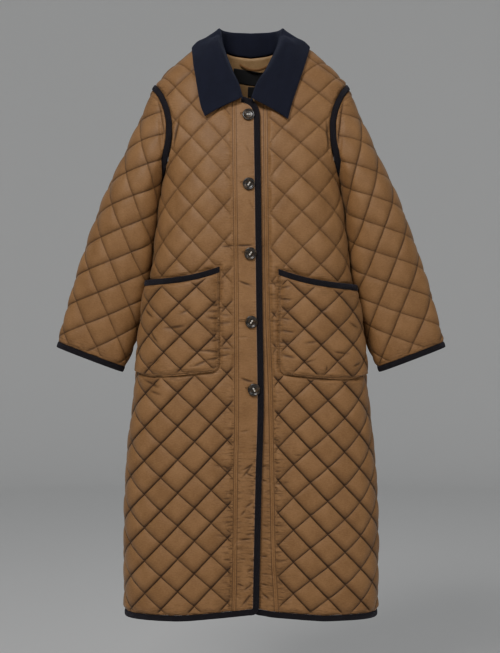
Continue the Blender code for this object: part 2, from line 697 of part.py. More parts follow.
def divided(points, lines, outline_count, weld):
    """An outline cut by lines: the points, the triangles and the edges on a line or the outline.

    Points closer than weld are made one.
    """
    spots, edges, faces, _, sources = delaunay(points, lines, outline_count)
    kept, place = [], {}
    for old in sorted({i for face in faces for i in face}):
        near = next((new for new, spot in enumerate(kept) if (spot - spots[old]).length < weld), None)
        place[old] = len(kept) if near is None else near
        if near is None:
            kept.append(spots[old])
    faces = [tuple(place[i] for i in face) for face in faces]
    faces = [face for face in faces if len(set(face)) == 3]
    sides = {frozenset(pair) for a, b, c in faces for pair in ((a, b), (b, c), (c, a))}
    fixed = [tuple(place[i] for i in edge) for edge, source in zip(edges, sources)
             if source and edge[0] in place and edge[1] in place]
    return kept, faces, [edge for edge in fixed if frozenset(edge) in sides]


def joined(points, lines, outline_count):
    """Triangles between points that already hold every crossing, by the points' numbers."""
    _, _, faces, origins, _ = delaunay(points, lines, outline_count)
    return [tuple(min(origins[i]) for i in face) for face in faces if all(origins[i] for i in face)]


def turning(outline):
    """Twice an outline's area, negative where it runs clockwise."""
    return sum(a[0] * b[1] - b[0] * a[1] for a, b in zip(outline, outline[1:] + outline[:1]))


def edge_loop(triangles):
    """The outer edge of a triangulation, in order."""
    sides = {}
    for a, b, c in triangles:
        for pair in ((a, b), (b, c), (c, a)):
            sides[pair] = True
    following = {a: b for a, b in sides if (b, a) not in sides}
    start = next(iter(following))
    loop = [start]
    while following[loop[-1]] != start:
        loop.append(following[loop[-1]])
    return loop


def outlined(outline, name):
    """An outline in the quilting's coordinates."""
    return [leaned(name, *p) for p in outline]


def on_crease(point, creases):
    """Whether a point lies on one of the creases."""
    for crease in creases:
        for a, b in zip(crease, crease[1:]):
            side = np.subtract(b, a)
            share = np.clip(np.dot(np.subtract(point, a), side) / np.dot(side, side), 0, 1)
            if np.linalg.norm(np.subtract(point, a) - share * side) < 1e-4:
                return True
    return False


def cloth(name, outline, frame, wall=WALL, quilted=True, blocked=(), creases=(), inner_rim=None):
    """A closed wall over an outline, with raised diamonds on its outer side.

    frame(across, up) gives a point of the stitch level and the direction out of it.
    No diamond is raised inside a blocked edge, and both sides bend along the creases.
    """
    flat = outlined(outline, name)
    if turning(flat) < 0:
        flat.reverse()
    shut = [outlined(edge, name) for edge in blocked]
    bends = [outlined(crease, name) for crease in creases]
    points, lines = list(flat), []
    if quilted:
        for ends in quilt_lines(name, flat):
            lines.append((len(points), len(points) + 1))
            points += ends
    for edge in shut:
        first = len(points)
        points += edge
        lines += [(first + i, first + (i + 1) % len(edge)) for i in range(len(edge))]
    for crease in bends:
        lines += [(len(points) + i, len(points) + i + 1) for i in range(len(crease) - 1)]
        points += crease
    base, faces, fixed = divided(points, lines, len(flat), SHORTEST_EDGE)
    loop = edge_loop(faces)
    rim = set(loop)
    order = loop + [i for i in range(len(base)) if i not in rim]
    place = {old: new for new, old in enumerate(order)}
    flat_points = [base[i] for i in order]
    count = len(loop)
    raised = raised_points(name, flat, shut) if quilted else []
    fixed = [(place[a], place[b]) for a, b in fixed]
    top = flat_points + raised
    outer_faces = joined(top, fixed, count)
    under = flat_points[:count] + [p for p in flat_points[count:] if not quilted or on_crease(p, bends)]
    if quilted:
        under += plain_points(name, flat)
    inner_faces = joined(under, [], count) if quilted else outer_faces

    mesh = bmesh.new()
    outer, inner = [], []
    for i, point in enumerate(top):
        here, out = frame(*unleaned(name, *point))
        outer.append(mesh.verts.new(here + out * (PUFF if i >= len(flat_points) else 0.0)))
    for i, point in enumerate(under):
        across, up = unleaned(name, *point)
        here, out = frame(across, up)
        depth = inner_rim(across, up) if inner_rim is not None and i < count else wall
        inner.append(mesh.verts.new(here - out * depth))
    for face in outer_faces:
        mesh.faces.new([outer[i] for i in face])
    for face in inner_faces:
        mesh.faces.new([inner[i] for i in reversed(face)])
    for i in range(count):
        j = (i + 1) % count
        mesh.faces.new([outer[j], outer[i], inner[i], inner[j]])
    return finished(name, mesh, "quilted_satin" if quilted else "plain_satin")


def ribbon(name, inner_path, outer_path, frame, finish, top=BINDING_PROUD, bottom=None, closed=False):
    """A bound edge: a flat strip between two paths, rounded over on top."""
    bottom = bottom if bottom is not None else top - BINDING_THICKNESS
    profile = [(0.0, bottom), (0.0, top * 0.55), (0.25, top), (0.75, top), (1.0, top * 0.35), (1.0, bottom)]
    sections = []
    for a, b in zip(inner_path, outer_path):
        section = []
        for share, lift in profile:
            here, out = frame(a[0] + (b[0] - a[0]) * share, a[1] + (b[1] - a[1]) * share)
            section.append(here + out * lift)
        sections.append(section)
    return loft(name, sections, finish, closed)


def loft(name, sections, finish, closed=False):
    """Sections of equal length joined into one closed solid, with flat ends unless it is a ring."""
    mesh = bmesh.new()
    rings = [[mesh.verts.new(point) for point in section] for section in sections]
    size = len(rings[0])
    pairs = list(zip(rings, rings[1:])) + ([(rings[-1], rings[0])] if closed else [])
    for first, second in pairs:
        for i in range(size):
            j = (i + 1) % size
            mesh.faces.new([first[i], first[j], second[j], second[i]])
    if not closed:
        mesh.faces.new(rings[0])
        mesh.faces.new(list(reversed(rings[-1])))
    return finished(name, mesh, finish)


def finished(name, mesh, finish):
    """A named object from a bmesh, with its faces turned out and shaded smooth."""
    bmesh.ops.recalc_face_normals(mesh, faces=mesh.faces)
    if mesh.calc_volume(signed=True) < 0:
        bmesh.ops.reverse_faces(mesh, faces=mesh.faces)
    data = bpy.data.meshes.new(name)
    mesh.to_mesh(data)
    mesh.free()
    data.shade_smooth()
    data.set_sharp_from_angle(angle=math.radians(50))
    return placed(name, data, finish)


def placed(name, data, finish):
    data.materials.append(material(finish))
    obj = bpy.data.objects.new(name, data)
    COAT.objects.link(obj)
    return obj


def material(name):
    found = bpy.data.materials.get(name)
    if found:
        return found
    finish = FINISHES[name]
    found = bpy.data.materials.new(name)
    found.use_nodes = True
    shader = found.node_tree.nodes["Principled BSDF"]
    shader.inputs["Base Color"].default_value = (*finish.colour, 1)
    shader.inputs["Roughness"].default_value = finish.roughness
    shader.inputs["Metallic"].default_value = 0.0
    shader.inputs["Sheen Weight"].default_value = finish.sheen
    return found


# ---------------------------------------------------------------- the pieces
def side_name(side):
    return "right" if side == RIGHT else "left"


def front_frame(side):
    def frame(across, up):
        here, out = body_frame(FRONT, side * across if across else side * 1e-6, up)
        return here - out * under_drop(side, across, up), out
    return frame


def split_at_seam(side):
    """The inside of the bound edge, as its part on the placket and its part on the front."""
    path = inside_edge(side)
    cut = next(i for i in range(len(path) - 1, 0, -1) if path[i][0] < SEAM[side](path[i][1]))
    return path[:cut + 1], path[cut + 1:]


def seam_line(side, offset):
    """The seam between placket and front, without its ends."""
    return [(float(SEAM[side](z)) + offset, float(z)) for z in np.linspace(-0.18, -1.12, 27)]


def hem_meeting(side, offset):
    """Where the placket seam meets the inside of the hem's binding."""
    across = float(SEAM[side](HEM_Z)) + offset
    return across, hem_height(across) + BINDING_WIDTH


def front(side):
    name = "front_" + side_name(side)
    _, hem = split_at_seam(side)
    start = hem_meeting(side, SEAM_GAP / 2)
    hem = [start] + [p for p in hem if p[0] > start[0] + 0.008]
    hem = [(u, w + SEAM_GAP) for u, w in hem]
    neck = neck_points(FRONT, float(SEAM[side](-0.115)) + SEAM_GAP / 2, 8)
    armhole = armhole_points(FRONT)[::-1]
    seam = seam_line(side, SEAM_GAP / 2)
    outline = hem + side_points(FRONT, armhole[0][1], hem[-1][1])[::-1][1:-1]
    outline += armhole + shoulder_points(FRONT, 6)[::-1][1:-1] + neck[::-1] + seam
    pocket = next(p for p in POCKETS if p.side == side)
    mouth, sewn = pocket_edges(pocket)
    return cloth(name, outline, front_frame(side), blocked=[mouth + sewn], creases=pocket_creases(pocket))


def placket(side):
    name = "placket_" + side_name(side)
    edge, _ = split_at_seam(side)
    end = hem_meeting(side, -SEAM_GAP / 2)
    edge = [p for p in moved_in(edge, SEAM_GAP)] + [(end[0], end[1] + SEAM_GAP)]
    neck = neck_points(FRONT, edge[0][0] + 0.001, 40)
    limit = float(SEAM[side](-0.115)) - SEAM_GAP / 2
    neck = [p for p in neck if p[0] < limit - 0.002][::4]
    seam = [flat_of(FRONT, limit, -0.1145)] + seam_line(side, -SEAM_GAP / 2)
    outline = edge + seam[::-1] + neck[::-1][:-1]
    creases = []
    if side == LEFT:
        heights = np.linspace(-0.165, -1.135, 21)
        creases.append([(LAP_SPARE - closing_edge(RIGHT, z), float(z)) for z in heights])
    return cloth(name, outline, front_frame(side), wall=0.0028, quilted=False, creases=creases)


def edge_binding(side):
    outer = finished_edge(side)
    inner = inside_edge(side)
    return ribbon("edge_binding_" + side_name(side), inner, outer, front_frame(side), "navy_tape")


def back_frame(across, up):
    return body_frame(BACK, across if across else 1e-6, up)


def back():
    hem_top = HEM_Z + BINDING_WIDTH + SEAM_GAP
    armhole = armhole_points(BACK)[::-1]
    side = side_points(BACK, armhole[0][1], hem_top)
    half = armhole + shoulder_points(BACK, 6)[::-1][1:-1]
    half = side[::-1][:-1] + half + neck_points(BACK, 0.0, 6)[::-1]
    mirrored = [(-u, w) for u, w in half[::-1][1:]]
    end = side[-1][0]
    hem = [(float(u), hem_top) for u in np.linspace(-end, end, 20)[1:-1]]
    return cloth("back", half + mirrored + hem, back_frame)


def hem_binding_back():
    end = girth(BACK, HEM_Z) - SEAM_GAP / 2
    across = np.linspace(-end, end, 25)
    inner = [(float(u), HEM_Z + BINDING_WIDTH) for u in across]
    outer = [(float(u), HEM_Z) for u in across]
    return ribbon("hem_binding_back", inner, outer, back_frame, "navy_tape")


def pocket_frame(pocket):
    def frame(across, up):
        here, out = body_frame(FRONT, pocket.side * across, up)
        return here + out * (pocket_lift(pocket, across, up) + WALL), out
    return frame


def pocket_pieces(pocket):
    mouth, sewn = pocket_edges(pocket)
    lowered = [(u, w - BINDING_WIDTH) for u, w in mouth]
    sewn = [p for p in sewn if not (p[0] > mouth[-1][0] - 0.02 and p[1] > lowered[-1][1] - 0.01)]
    sewn = [p for p in sewn if not (p[0] < pocket.inner + 0.01 and p[1] > lowered[0][1] - 0.01)]

    def to_rim(across, up):
        if on_crease((across, up), [lowered]) and lowered[0][0] + 1e-4 < across < lowered[-1][0] - 1e-4:
            return WALL
        return pocket_lift(pocket, across, up) + WALL - POCKET_RIM

    name = "pocket_" + side_name(pocket.side)
    cloth(name, lowered + sewn, pocket_frame(pocket), creases=pocket_creases(pocket), inner_rim=to_rim)
    lower = [(u, w + SEAM_GAP) for u, w in lowered]
    ribbon("pocket_binding_" + side_name(pocket.side), lower, mouth, pocket_frame(pocket), "navy_tape")


def sleeve(side, chart):
    name = "sleeve_" + side_name(side)
    open_turn = np.linspace(-math.pi, math.pi, 2 * ARMHOLE_STEPS + 1)
    cap = [chart.cap_edge(turn) for turn in open_turn]
    cuff_up = BINDING_WIDTH + SEAM_GAP
    gap = SEAM_GAP / 2

    def seam(end):
        heights = np.linspace(cuff_up, cap[0][1], 13)
        return [(float(chart.row(w)[0][end]) + (gap if end == 0 else -gap), float(w)) for w in heights]

    front_seam, back_seam = seam(-1), seam(0)
    cuff = [(float(u), cuff_up) for u in np.linspace(back_seam[0][0], front_seam[0][0], 14)]
    outline = cuff + front_seam[1:-1]
    outline += [(front_seam[-1][0], cap[-1][1])] + cap[1:-1][::-1] + [(back_seam[-1][0], cap[0][1])]
    outline += back_seam[1:-1][::-1]
    return cloth(name, outline, lambda across, up: sleeve_frame(chart, side, across, up))


def cuff_binding(side, chart):
    """A ring round the cuff, standing a little proud."""
    widths, _ = chart.row(0.0)
    across = np.linspace(widths[0], widths[-1], 23)[:-1]
    top = chart.row(BINDING_WIDTH)[0]
    scale = (top[-1] - top[0]) / (widths[-1] - widths[0])
    inner = [(float(u * scale), BINDING_WIDTH) for u in across]
    outer = [(float(u), 0.0) for u in across]
    frame = lambda u, w: sleeve_frame(chart, side, u, w)
    return ribbon("cuff_binding_" + side_name(side), inner, outer, frame, "navy_tape", closed=True)


def armhole_binding(side):
    """The bound seam between body and sleeve, a ring that stands proud of both."""
    turns = np.linspace(-math.pi, math.pi, 2 * ARMHOLE_STEPS + 1)[:-1]
    ring = armhole_ring(turns)
    along = np.roll(ring, -1, axis=0) - np.roll(ring, 1, axis=0)
    along /= np.linalg.norm(along, axis=1)[:, None]
    outwards = set_in_direction(turns)
    out = np.cross(along, outwards)
    out /= np.linalg.norm(out, axis=1)[:, None]
    outwards *= ARMHOLE_TAPE
    first = 2.4 * SEAM_GAP / ARMHOLE_TAPE
    profile = [
        (first, -0.0028), (first, 0.0016), (0.3, 0.0036), (0.7, 0.0036), (0.97, 0.0014), (0.97, -0.0026)]
    sections = []
    for turn, point, step, up in zip(turns, ring, outwards, out):
        under = 1 - 0.8 * float(smoothstep(0.2 - 0.9 * math.cos(turn)))  # lower towards the underarm
        section = []
        for share, lift in profile:
            spot = point + step * share * (0.80 + 0.20 * under) + up * (lift * under if lift > 0 else lift)
            section.append(Vector((side * spot[0], spot[1], spot[2])))
        sections.append(section)
    return loft("armhole_binding_" + side_name(side), sections, "navy_tape", closed=True)


def lying_over(point):
    """The point moved out until the collar clears the cloth below it."""
    x, y, z = point
    face = FRONT if y < 0.01 else BACK
    ridge = ridge_z(abs(x))
    if z >= ridge:
        return Vector((x, y, max(z, ridge + COLLAR_CLEARANCE)))
    across, up = flat_of(face, abs(x), z)
    here, out = body_frame(face, math.copysign(across, x), up)
    reach = (Vector(point) - here).dot(out)
    return Vector(point) + out * max(0.0, COLLAR_CLEARANCE - reach)


def collar_section(row, side, face):
    """One section of the collar, from the neck edge over the fold to the loose edge."""
    across, up = flat_of(face, row.neck_x, row.neck_z)
    neck = body_point(face, side * max(across, 1e-6), up)
    fold = Vector((side * row.fold_x, row.fold_y, row.fold_z))
    edge_y = face * float(depth_at(face, row.edge_x, row.edge_z))
    edge = lying_over((side * row.edge_x, edge_y, row.edge_z))
    away = edge - fold
    away.z = 0
    away.normalize()
    stand = (fold - neck).normalized()
    start = neck + stand * COLLAR_SEAM - away * COLLAR_INSET
    inside = fold - away * COLLAR_ROLL * 0.5 - Vector((0, 0, COLLAR_ROLL))
    outside = fold + away * COLLAR_ROLL * 1.1 - Vector((0, 0, COLLAR_ROLL * 0.7))
    middle = start.lerp(inside, 0.5)
    falls = [lying_over(outside.lerp(edge, share) + away * 0.003 * math.sin(math.pi * share))
             for share in (0.0, 0.22, 0.46, 0.72)]
    return [start, middle, inside, fold, *falls, edge]


def between(rows, count):
    """The rows of a table with count - 1 more between each two, on smooth curves."""
    values = np.array(rows, dtype=float)
    places = np.arange(len(rows))
    curves = [curve_through(list(zip(places, values[:, i]))) for i in range(values.shape[1])]
    spots = np.linspace(0, len(rows) - 1, (len(rows) - 1) * count + 1)
    return [(Fold(*[float(curve(t)) for curve in curves]), t) for t in spots]


def collar():
    sections = []
    for side, rows in ((RIGHT, COLLAR_FRONT_RIGHT), (LEFT, COLLAR_FRONT_LEFT)):
        half = []
        for row, place in between(rows + COLLAR_BACK, 2):
            face = FRONT if place < len(rows) else BACK
            half.append(collar_section(row, side, face))
        sections.append(half)
    right, left = sections
    profile = right + left[::-1][1:]
    mesh = bmesh.new()
    grid = [[mesh.verts.new(point) for point in section] for section in profile]
    for first, second in zip(grid, grid[1:]):
        for i in range(len(first) - 1):
            mesh.faces.new([first[i], first[i + 1], second[i + 1], second[i]])
    data = bpy.data.meshes.new("collar")
    mesh.to_mesh(data)
    mesh.free()
    data.shade_smooth()
    obj = placed("collar", data, "collar_cord")
    wall = obj.modifiers.new("wall", "SOLIDIFY")
    wall.thickness = COLLAR_THICKNESS
    wall.offset = 0.0
    wall.use_even_offset = False
    return obj


def button(number):
    """A turned horn button with a raised rim, lying on the right front's placket."""
    spot = BUTTONS[number]
    here, out = front_frame(RIGHT)(-spot.x, spot.z)
    radius = BUTTON_RADIUS
    profile = [
        (0.0, 0.0028), (radius * 0.66, 0.0028), (radius * 0.84, 0.0044), (radius, 0.0030),
        (radius * 0.60, 0.0), (0.0, 0.0),
    ]
    data = bpy.data.meshes.new("button_profile")
    data.from_pydata([(r, 0, h) for r, h in profile], [(i, i + 1) for i in range(len(profile) - 1)], [])
    obj = placed(f"button_{number + 1}", data, "horn")
    turned = obj.modifiers.new("turned", "SCREW")
    turned.steps = turned.render_steps = 14
    turned.use_merge_vertices = True
    turned.merge_threshold = 0.0001
    obj.rotation_mode = "QUATERNION"
    obj.rotation_quaternion = Vector((0, 0, 1)).rotation_difference(out)
    obj.location = here + out * spot.lift
    return obj


def hanger_loop():
    """A flat loop inside the back of the neck, sewn down at both ends."""
    sections = []
    for share in np.linspace(0, 1, 11):
        x = LOOP_SPAN[0] + (LOOP_SPAN[1] - LOOP_SPAN[0]) * share
        sag = LOOP_SAG * math.sin(math.pi * share) ** 0.8
        off = LOOP_SEAT + (LOOP_STAND_OFF - LOOP_SEAT) * math.sin(math.pi * share)
        _, up = flat_of(BACK, abs(x), -0.0225)
        section = []
        for width, depth in ((0, 0), (0, 1), (1, 1), (1, 0)):
            here, out = back_frame(x, up - 0.006 - sag - width * LOOP_WIDTH)
            section.append(here - out * (off + depth * 0.0014))
        sections.append(section)
    return loft("hanger_loop", sections, "plain_satin")


def neck_patch(patch):
    """A small label lying inside the back."""
    across, up = flat_of(BACK, abs(patch.x), patch.z)
    across = math.copysign(across, patch.x)
    sections = []
    for i in np.linspace(-0.5, 0.5, 5 if patch.width > 0.03 else 2):
        section = []
        for j, depth in ((-0.5, 0), (0.5, 0), (0.5, 1), (-0.5, 1)):
            dx, dz = i * patch.width, j * patch.height
            u = across + dx * math.cos(patch.tilt) - dz * math.sin(patch.tilt)
            w = up + dx * math.sin(patch.tilt) + dz * math.cos(patch.tilt)
            here, out = back_frame(u, w)
            section.append(here - out * (LABEL_DEPTH + depth * patch.thickness))
        sections.append(section)
    return loft(patch.name, sections, "label_black")


def main():
    for obj in list(bpy.data.objects):
        bpy.data.objects.remove(obj, do_unlink=True)
    bpy.context.scene.collection.children.link(COAT)
    back()
    hem_binding_back()
    chart = SleeveChart()
    for side in (RIGHT, LEFT):
        front(side)
        placket(side)
        edge_binding(side)
        sleeve(side, chart)
        cuff_binding(side, chart)
        armhole_binding(side)
    for pocket in POCKETS:
        pocket_pieces(pocket)
    collar()
    for number in range(len(BUTTONS)):
        button(number)
    hanger_loop()
    neck_patch(LABEL)
    neck_patch(SIZE_TAB)


COAT = bpy.data.collections.new("quilted_coat")
main()
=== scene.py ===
"""The long quilted coat's looks: satin, wadding, corded collar, bias tape and horn buttons.

Metres, +Z up, the front facing -Y and the wearer's right at -X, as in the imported
model. Each piece of cloth is laid out flat, in (across, up) coordinates on the surface
it hangs in, meshed there with its quilting, creases and puckers, and carried to that
surface. Across runs from the centre line to the side, and up is the height below the
yoke and the cloth's own length above it.
"""

import functools
import json
import math
from collections import namedtuple

import bmesh
import bpy
import numpy as np
from mathutils import Matrix, Vector

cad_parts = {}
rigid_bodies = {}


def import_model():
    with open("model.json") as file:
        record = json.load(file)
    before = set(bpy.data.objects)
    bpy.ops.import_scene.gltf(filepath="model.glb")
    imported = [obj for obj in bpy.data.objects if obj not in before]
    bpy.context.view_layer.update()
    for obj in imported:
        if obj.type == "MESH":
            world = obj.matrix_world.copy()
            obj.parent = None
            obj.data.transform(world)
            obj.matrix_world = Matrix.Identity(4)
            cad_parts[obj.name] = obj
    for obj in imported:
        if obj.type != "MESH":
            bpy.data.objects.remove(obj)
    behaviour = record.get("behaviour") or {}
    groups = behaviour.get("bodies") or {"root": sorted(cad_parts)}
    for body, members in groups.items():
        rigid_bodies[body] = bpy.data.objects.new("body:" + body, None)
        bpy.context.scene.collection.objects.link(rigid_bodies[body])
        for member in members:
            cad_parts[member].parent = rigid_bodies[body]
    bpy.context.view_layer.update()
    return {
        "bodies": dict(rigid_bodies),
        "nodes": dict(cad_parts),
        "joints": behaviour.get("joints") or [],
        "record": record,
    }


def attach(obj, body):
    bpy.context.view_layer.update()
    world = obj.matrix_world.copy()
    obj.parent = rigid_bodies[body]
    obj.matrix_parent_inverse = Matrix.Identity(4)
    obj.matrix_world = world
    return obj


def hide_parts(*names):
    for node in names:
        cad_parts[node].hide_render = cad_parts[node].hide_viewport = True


RIGHT, LEFT = -1, 1  # the wearer's sides, as the sign of x
FRONT, BACK = -1, 1  # the sign of y

# ---------------------------------------------------------------- sizes
SEAM_GAP = 0.0003
WALL = 0.0024  # quilted cloth at a stitch line
PUFF = 0.0046  # how far a diamond's middle stands above its stitch lines
DIAMOND_HALF_WIDTH = 0.0335
DIAMOND_HALF_HEIGHT = 0.0329
CHEST_STRETCH = 1.07  # diamonds above the waist are this much taller
WAIST_Z = -0.46
PUFF_FADE = 0.008  # the wadding thins out over this much beside a seam

BINDING_WIDTH = 0.012
BINDING_THICKNESS = 0.0046
BINDING_PROUD = 0.0016  # how far a binding stands above the cloth beside it

HEM_Z = -1.184
HEM_RISE = 0.014  # the hem is this much higher at the centre front
HEM_RISE_REACH = 0.15
YOKE_Z = -0.12  # above this height the cloth turns over the shoulders

UNDER_LAP_DROP = 0.0066  # how far the left front lies behind the right one
LAP_SPARE = 0.003
LAP_RAMP = 0.024
PLACKET_WIDTH = 0.052
PLACKET_WALL = 0.0028
STITCH_ROW = 0.0040  # each of the two rows lies this far from a placket's seam

BUTTON_RADIUS = 0.0125
BUTTON_SEGMENTS = 56
THREAD_HEIGHT = 0.0031  # of the threads' middle over the placket
THREAD_LENGTH = 0.0040
THREAD_THICKNESS = 0.0015
THREAD_OFFSETS = (-0.0022, 0.0022)
SLIT_HALF_WIDTH = 0.0016
SLIT_THICKNESS = 0.00075
SLIT_RISE = 0.0035  # a buttonhole's middle lies this much above its button's

NECK_CORNER = {RIGHT: (0.0180, -0.1262), LEFT: (0.0030, -0.1262)}  # where a front's bound edge starts
NECK_TURN_Z = -0.132  # from here to the next height the edge turns down
EDGE_TOP_Z = -0.170
HEM_CORNER = 0.020
NECK_MEETING_Z = -0.1145  # where a placket's seam comes to the neck edge
SEAM_TOP_Z = -0.1180
SEAM_LIMIT_Z = -0.115  # above this height a placket's seam keeps its place
TAPE_SIDES = 20
TAPE_SQUARENESS = 0.55  # the two powers that make a tape's section flat with rounded edges
TAPE_CROWN = 0.6
ROW_HEIGHT = 0.0005  # how far a row of top stitching draws the cloth in, and over what width
ROW_WIDTH = 0.0014
FOLD_DEPTH = 0.0018  # a crease of this depth gets the darkest painted shadow
DRAPE = 0.0019
LOOP_Z = -0.0225

PANEL_STEP = 0.0028  # spacing of the points on a quilted piece
BACK_STEP = 0.0033
TAPE_STEP = 0.0030

# ---------------------------------------------------------------- tables
def named(kind, rows):
    """Rows of plain numbers, given the names of their columns."""
    return [kind(*row) for row in rows]


Section = namedtuple("Section", "z half_width front back front_power back_power")
TORSO = named(Section, [
    (-1.260, 0.2595, 0.106, 0.105, 3.3, 3.3),
    (-1.035, 0.2600, 0.110, 0.108, 3.3, 3.3),
    (-0.910, 0.2575, 0.112, 0.110, 3.3, 3.3),
    (-0.827, 0.2510, 0.114, 0.111, 3.3, 3.3),
    (-0.744, 0.2410, 0.116, 0.112, 3.3, 3.2),
    (-0.673, 0.2335, 0.117, 0.112, 3.3, 3.1),
    (-0.5875, 0.2220, 0.118, 0.110, 3.2, 3.0),
    (-0.502, 0.2075, 0.120, 0.107, 3.0, 2.9),
    (-0.460, 0.2015, 0.121, 0.106, 2.9, 2.8),
    (-0.396, 0.1960, 0.123, 0.107, 2.7, 2.6),
    (-0.333, 0.1890, 0.124, 0.109, 2.6, 2.5),
    (-0.300, 0.1850, 0.123, 0.110, 2.5, 2.5),
    (-0.250, 0.1890, 0.118, 0.111, 2.45, 2.45),
    (-0.200, 0.1955, 0.109, 0.110, 2.4, 2.4),
    (-0.150, 0.2000, 0.096, 0.105, 2.35, 2.35),
    (-0.098, 0.2010, 0.083, 0.094, 2.25, 2.25),
    (-0.0771, 0.1860, 0.078, 0.088, 2.2, 2.2),
    (-0.0562, 0.1665, 0.073, 0.082, 2.15, 2.15),
    (-0.0354, 0.1415, 0.067, 0.074, 2.1, 2.1),
    (-0.0146, 0.1165, 0.058, 0.064, 2.05, 2.05),
    (0.000, 0.0705, 0.050, 0.056, 2.0, 2.0),
])

# The neck edge, from the centre line up to the side of the neck.
Edge = namedtuple("Edge", "x z")
NECK_FRONT = named(Edge, [
    (0.0, -0.1280), (0.018, -0.1240), (0.031, -0.1145), (0.050, -0.090),
    (0.066, -0.060), (0.0735, -0.030), (0.0712, 0.0),
])
NECK_BACK = named(Edge, [(0.0, -0.0200), (0.035, -0.0160), (0.058, -0.0090), (0.0712, 0.0)])

# Where a sleeve is set in: the body's edge, on the front and on the back.
Armhole = namedtuple("Armhole", "z front_x back_x")
ARMHOLE = named(Armhole, [
    (-0.0925, 0.1966, 0.1966), (-0.105, 0.1860, 0.1895), (-0.120, 0.1770, 0.1850),
    (-0.150, 0.1655, 0.1790), (-0.180, 0.1602, 0.1750), (-0.210, 0.1610, 0.1745),
    (-0.240, 0.1665, 0.1760), (-0.270, 0.1745, 0.1790), (-0.302, 0.1850, 0.1850),
])

# Distance from the centre front. A negative one is past it, under or over the other front.
Lap = namedtuple("Lap", "z right_seam right_edge left_seam")
LAPS = named(Lap, [
    (-1.220, 0.0350, -0.0155, 0.0530), (-1.140, 0.0340, -0.0165, 0.0500),
    (-1.060, 0.0325, -0.0180, 0.0450), (-0.900, 0.0310, -0.0215, 0.0420),
    (-0.740, 0.0285, -0.0255, 0.0395), (-0.540, 0.0290, -0.0228, 0.0325),
    (-0.330, 0.0315, -0.0202, 0.0300), (-0.150, 0.0335, -0.0180, 0.0285),
    (-0.100, 0.0340, -0.0180, 0.0280),
])

# How the quilting leans: at the chest it lies this far from where it lies at the hem.
Lean = namedtuple("Lean", "z right left")
LEAN = named(Lean, [(-1.20, 0.0, 0.0), (-0.72, 0.0, 0.0), (-0.44, 0.004, -0.015), (0.05, 0.005, -0.015)])

# One crossing of stitch lines on each piece, from which the rest are counted.
Crossing = namedtuple("Crossing", "across up")
Span = namedtuple("Span", "across across_reach up up_reach")
QUILT_START = {
    "front_right": Crossing(0.0470, -0.7513),
    "front_left": Crossing(0.0540, -0.7016),
    "back": Crossing(0.0, -0.7350),
    "pocket_right": Crossing(0.1070, -0.5776),
    "pocket_left": Crossing(0.1060, -0.5956),
    "sleeve_right": Crossing(0.0850, 0.1300),
    "sleeve_left": Crossing(0.0850, 0.1300),
}

# The buttons, top to bottom. turn is the direction of the thread across one, from upright,
# and slit how far its buttonhole runs from its middle.
Button = namedtuple("Button", "x z lift turn slit")
BUTTONS = named(Button, [
    (-0.0048, -0.1650, 0.0004, 90, 0.0170), (-0.0040, -0.3060, 0.0, 32, 0.0170),
    (-0.0010, -0.4450, 0.0004, 36, 0.0170), (0.0010, -0.5816, 0.0005, 32, 0.0245),
    (0.0060, -0.7170, 0.0014, -26, 0.0170),
])
# A button's half section from its underside up, as shares of its radius and as heights.
BUTTON_PROFILE = [
    (0.30, 0.0002), (0.62, 0.0003), (0.86, 0.0014), (0.97, 0.0024), (1.0, 0.0032),
    (0.98, 0.0039), (0.93, 0.0044), (0.86, 0.0046), (0.79, 0.0043), (0.72, 0.0036),
    (0.64, 0.0030), (0.50, 0.0027), (0.30, 0.0026), (0.06, 0.0026),
]

Pocket = namedtuple(
    "Pocket", "side inner mouth_inner mouth_outer mouth_power bottom_inner bottom_middle bottom_outer")
POCKETS = named(Pocket, [
    (RIGHT, 0.0630, -0.4705, -0.4985, 3.0, -0.6790, -0.6915, -0.6800),
    (LEFT, 0.0550, -0.4755, -0.5085, 2.6, -0.6850, -0.6970, -0.6860),
])
POCKET_CORNER = 0.022
POCKET_LIFT = 0.0034  # the pocket's inside clears the front by this
POCKET_BELLY = 0.0145  # and by this much more in the middle of its mouth
POCKET_RIM = 0.0008
POCKET_ROW = 0.003  # its stitching lies this far from its edge
POCKET_SIDE_GAP = 0.010  # from the side seam

# The sleeve's outer and inner lines, seen from the front, from the shoulder to the cuff.
Line = namedtuple("Line", "x z")
SLEEVE_OUTER = named(Line, [
    (0.2035, -0.1005), (0.2090, -0.1187), (0.2265, -0.160), (0.2465, -0.202),
    (0.2655, -0.2437), (0.2860, -0.2854), (0.3045, -0.327), (0.3360, -0.410),
    (0.3650, -0.4937), (0.3880, -0.577), (0.4040, -0.6333),
])
SLEEVE_INNER = named(Line, [
    (0.1965, -0.2975), (0.2035, -0.330), (0.2105, -0.396), (0.2190, -0.460),
    (0.2265, -0.520), (0.2350, -0.590), (0.2490, -0.640), (0.2680, -0.6850),
])
Girth = namedtuple("Girth", "along front back power")
SLEEVE_DEPTH = named(Girth, [
    (0.0, 0.072, 0.082, 2.1), (0.15, 0.076, 0.082, 2.2), (0.35, 0.070, 0.074, 2.3),
    (0.60, 0.054, 0.056, 2.3), (0.85, 0.036, 0.036, 2.4), (1.0, 0.029, 0.029, 2.5),
])
CAP_BLEND = 0.45  # over this share of its length the sleeve leaves the armhole's shape
ARMHOLE_TAPE = 0.0120

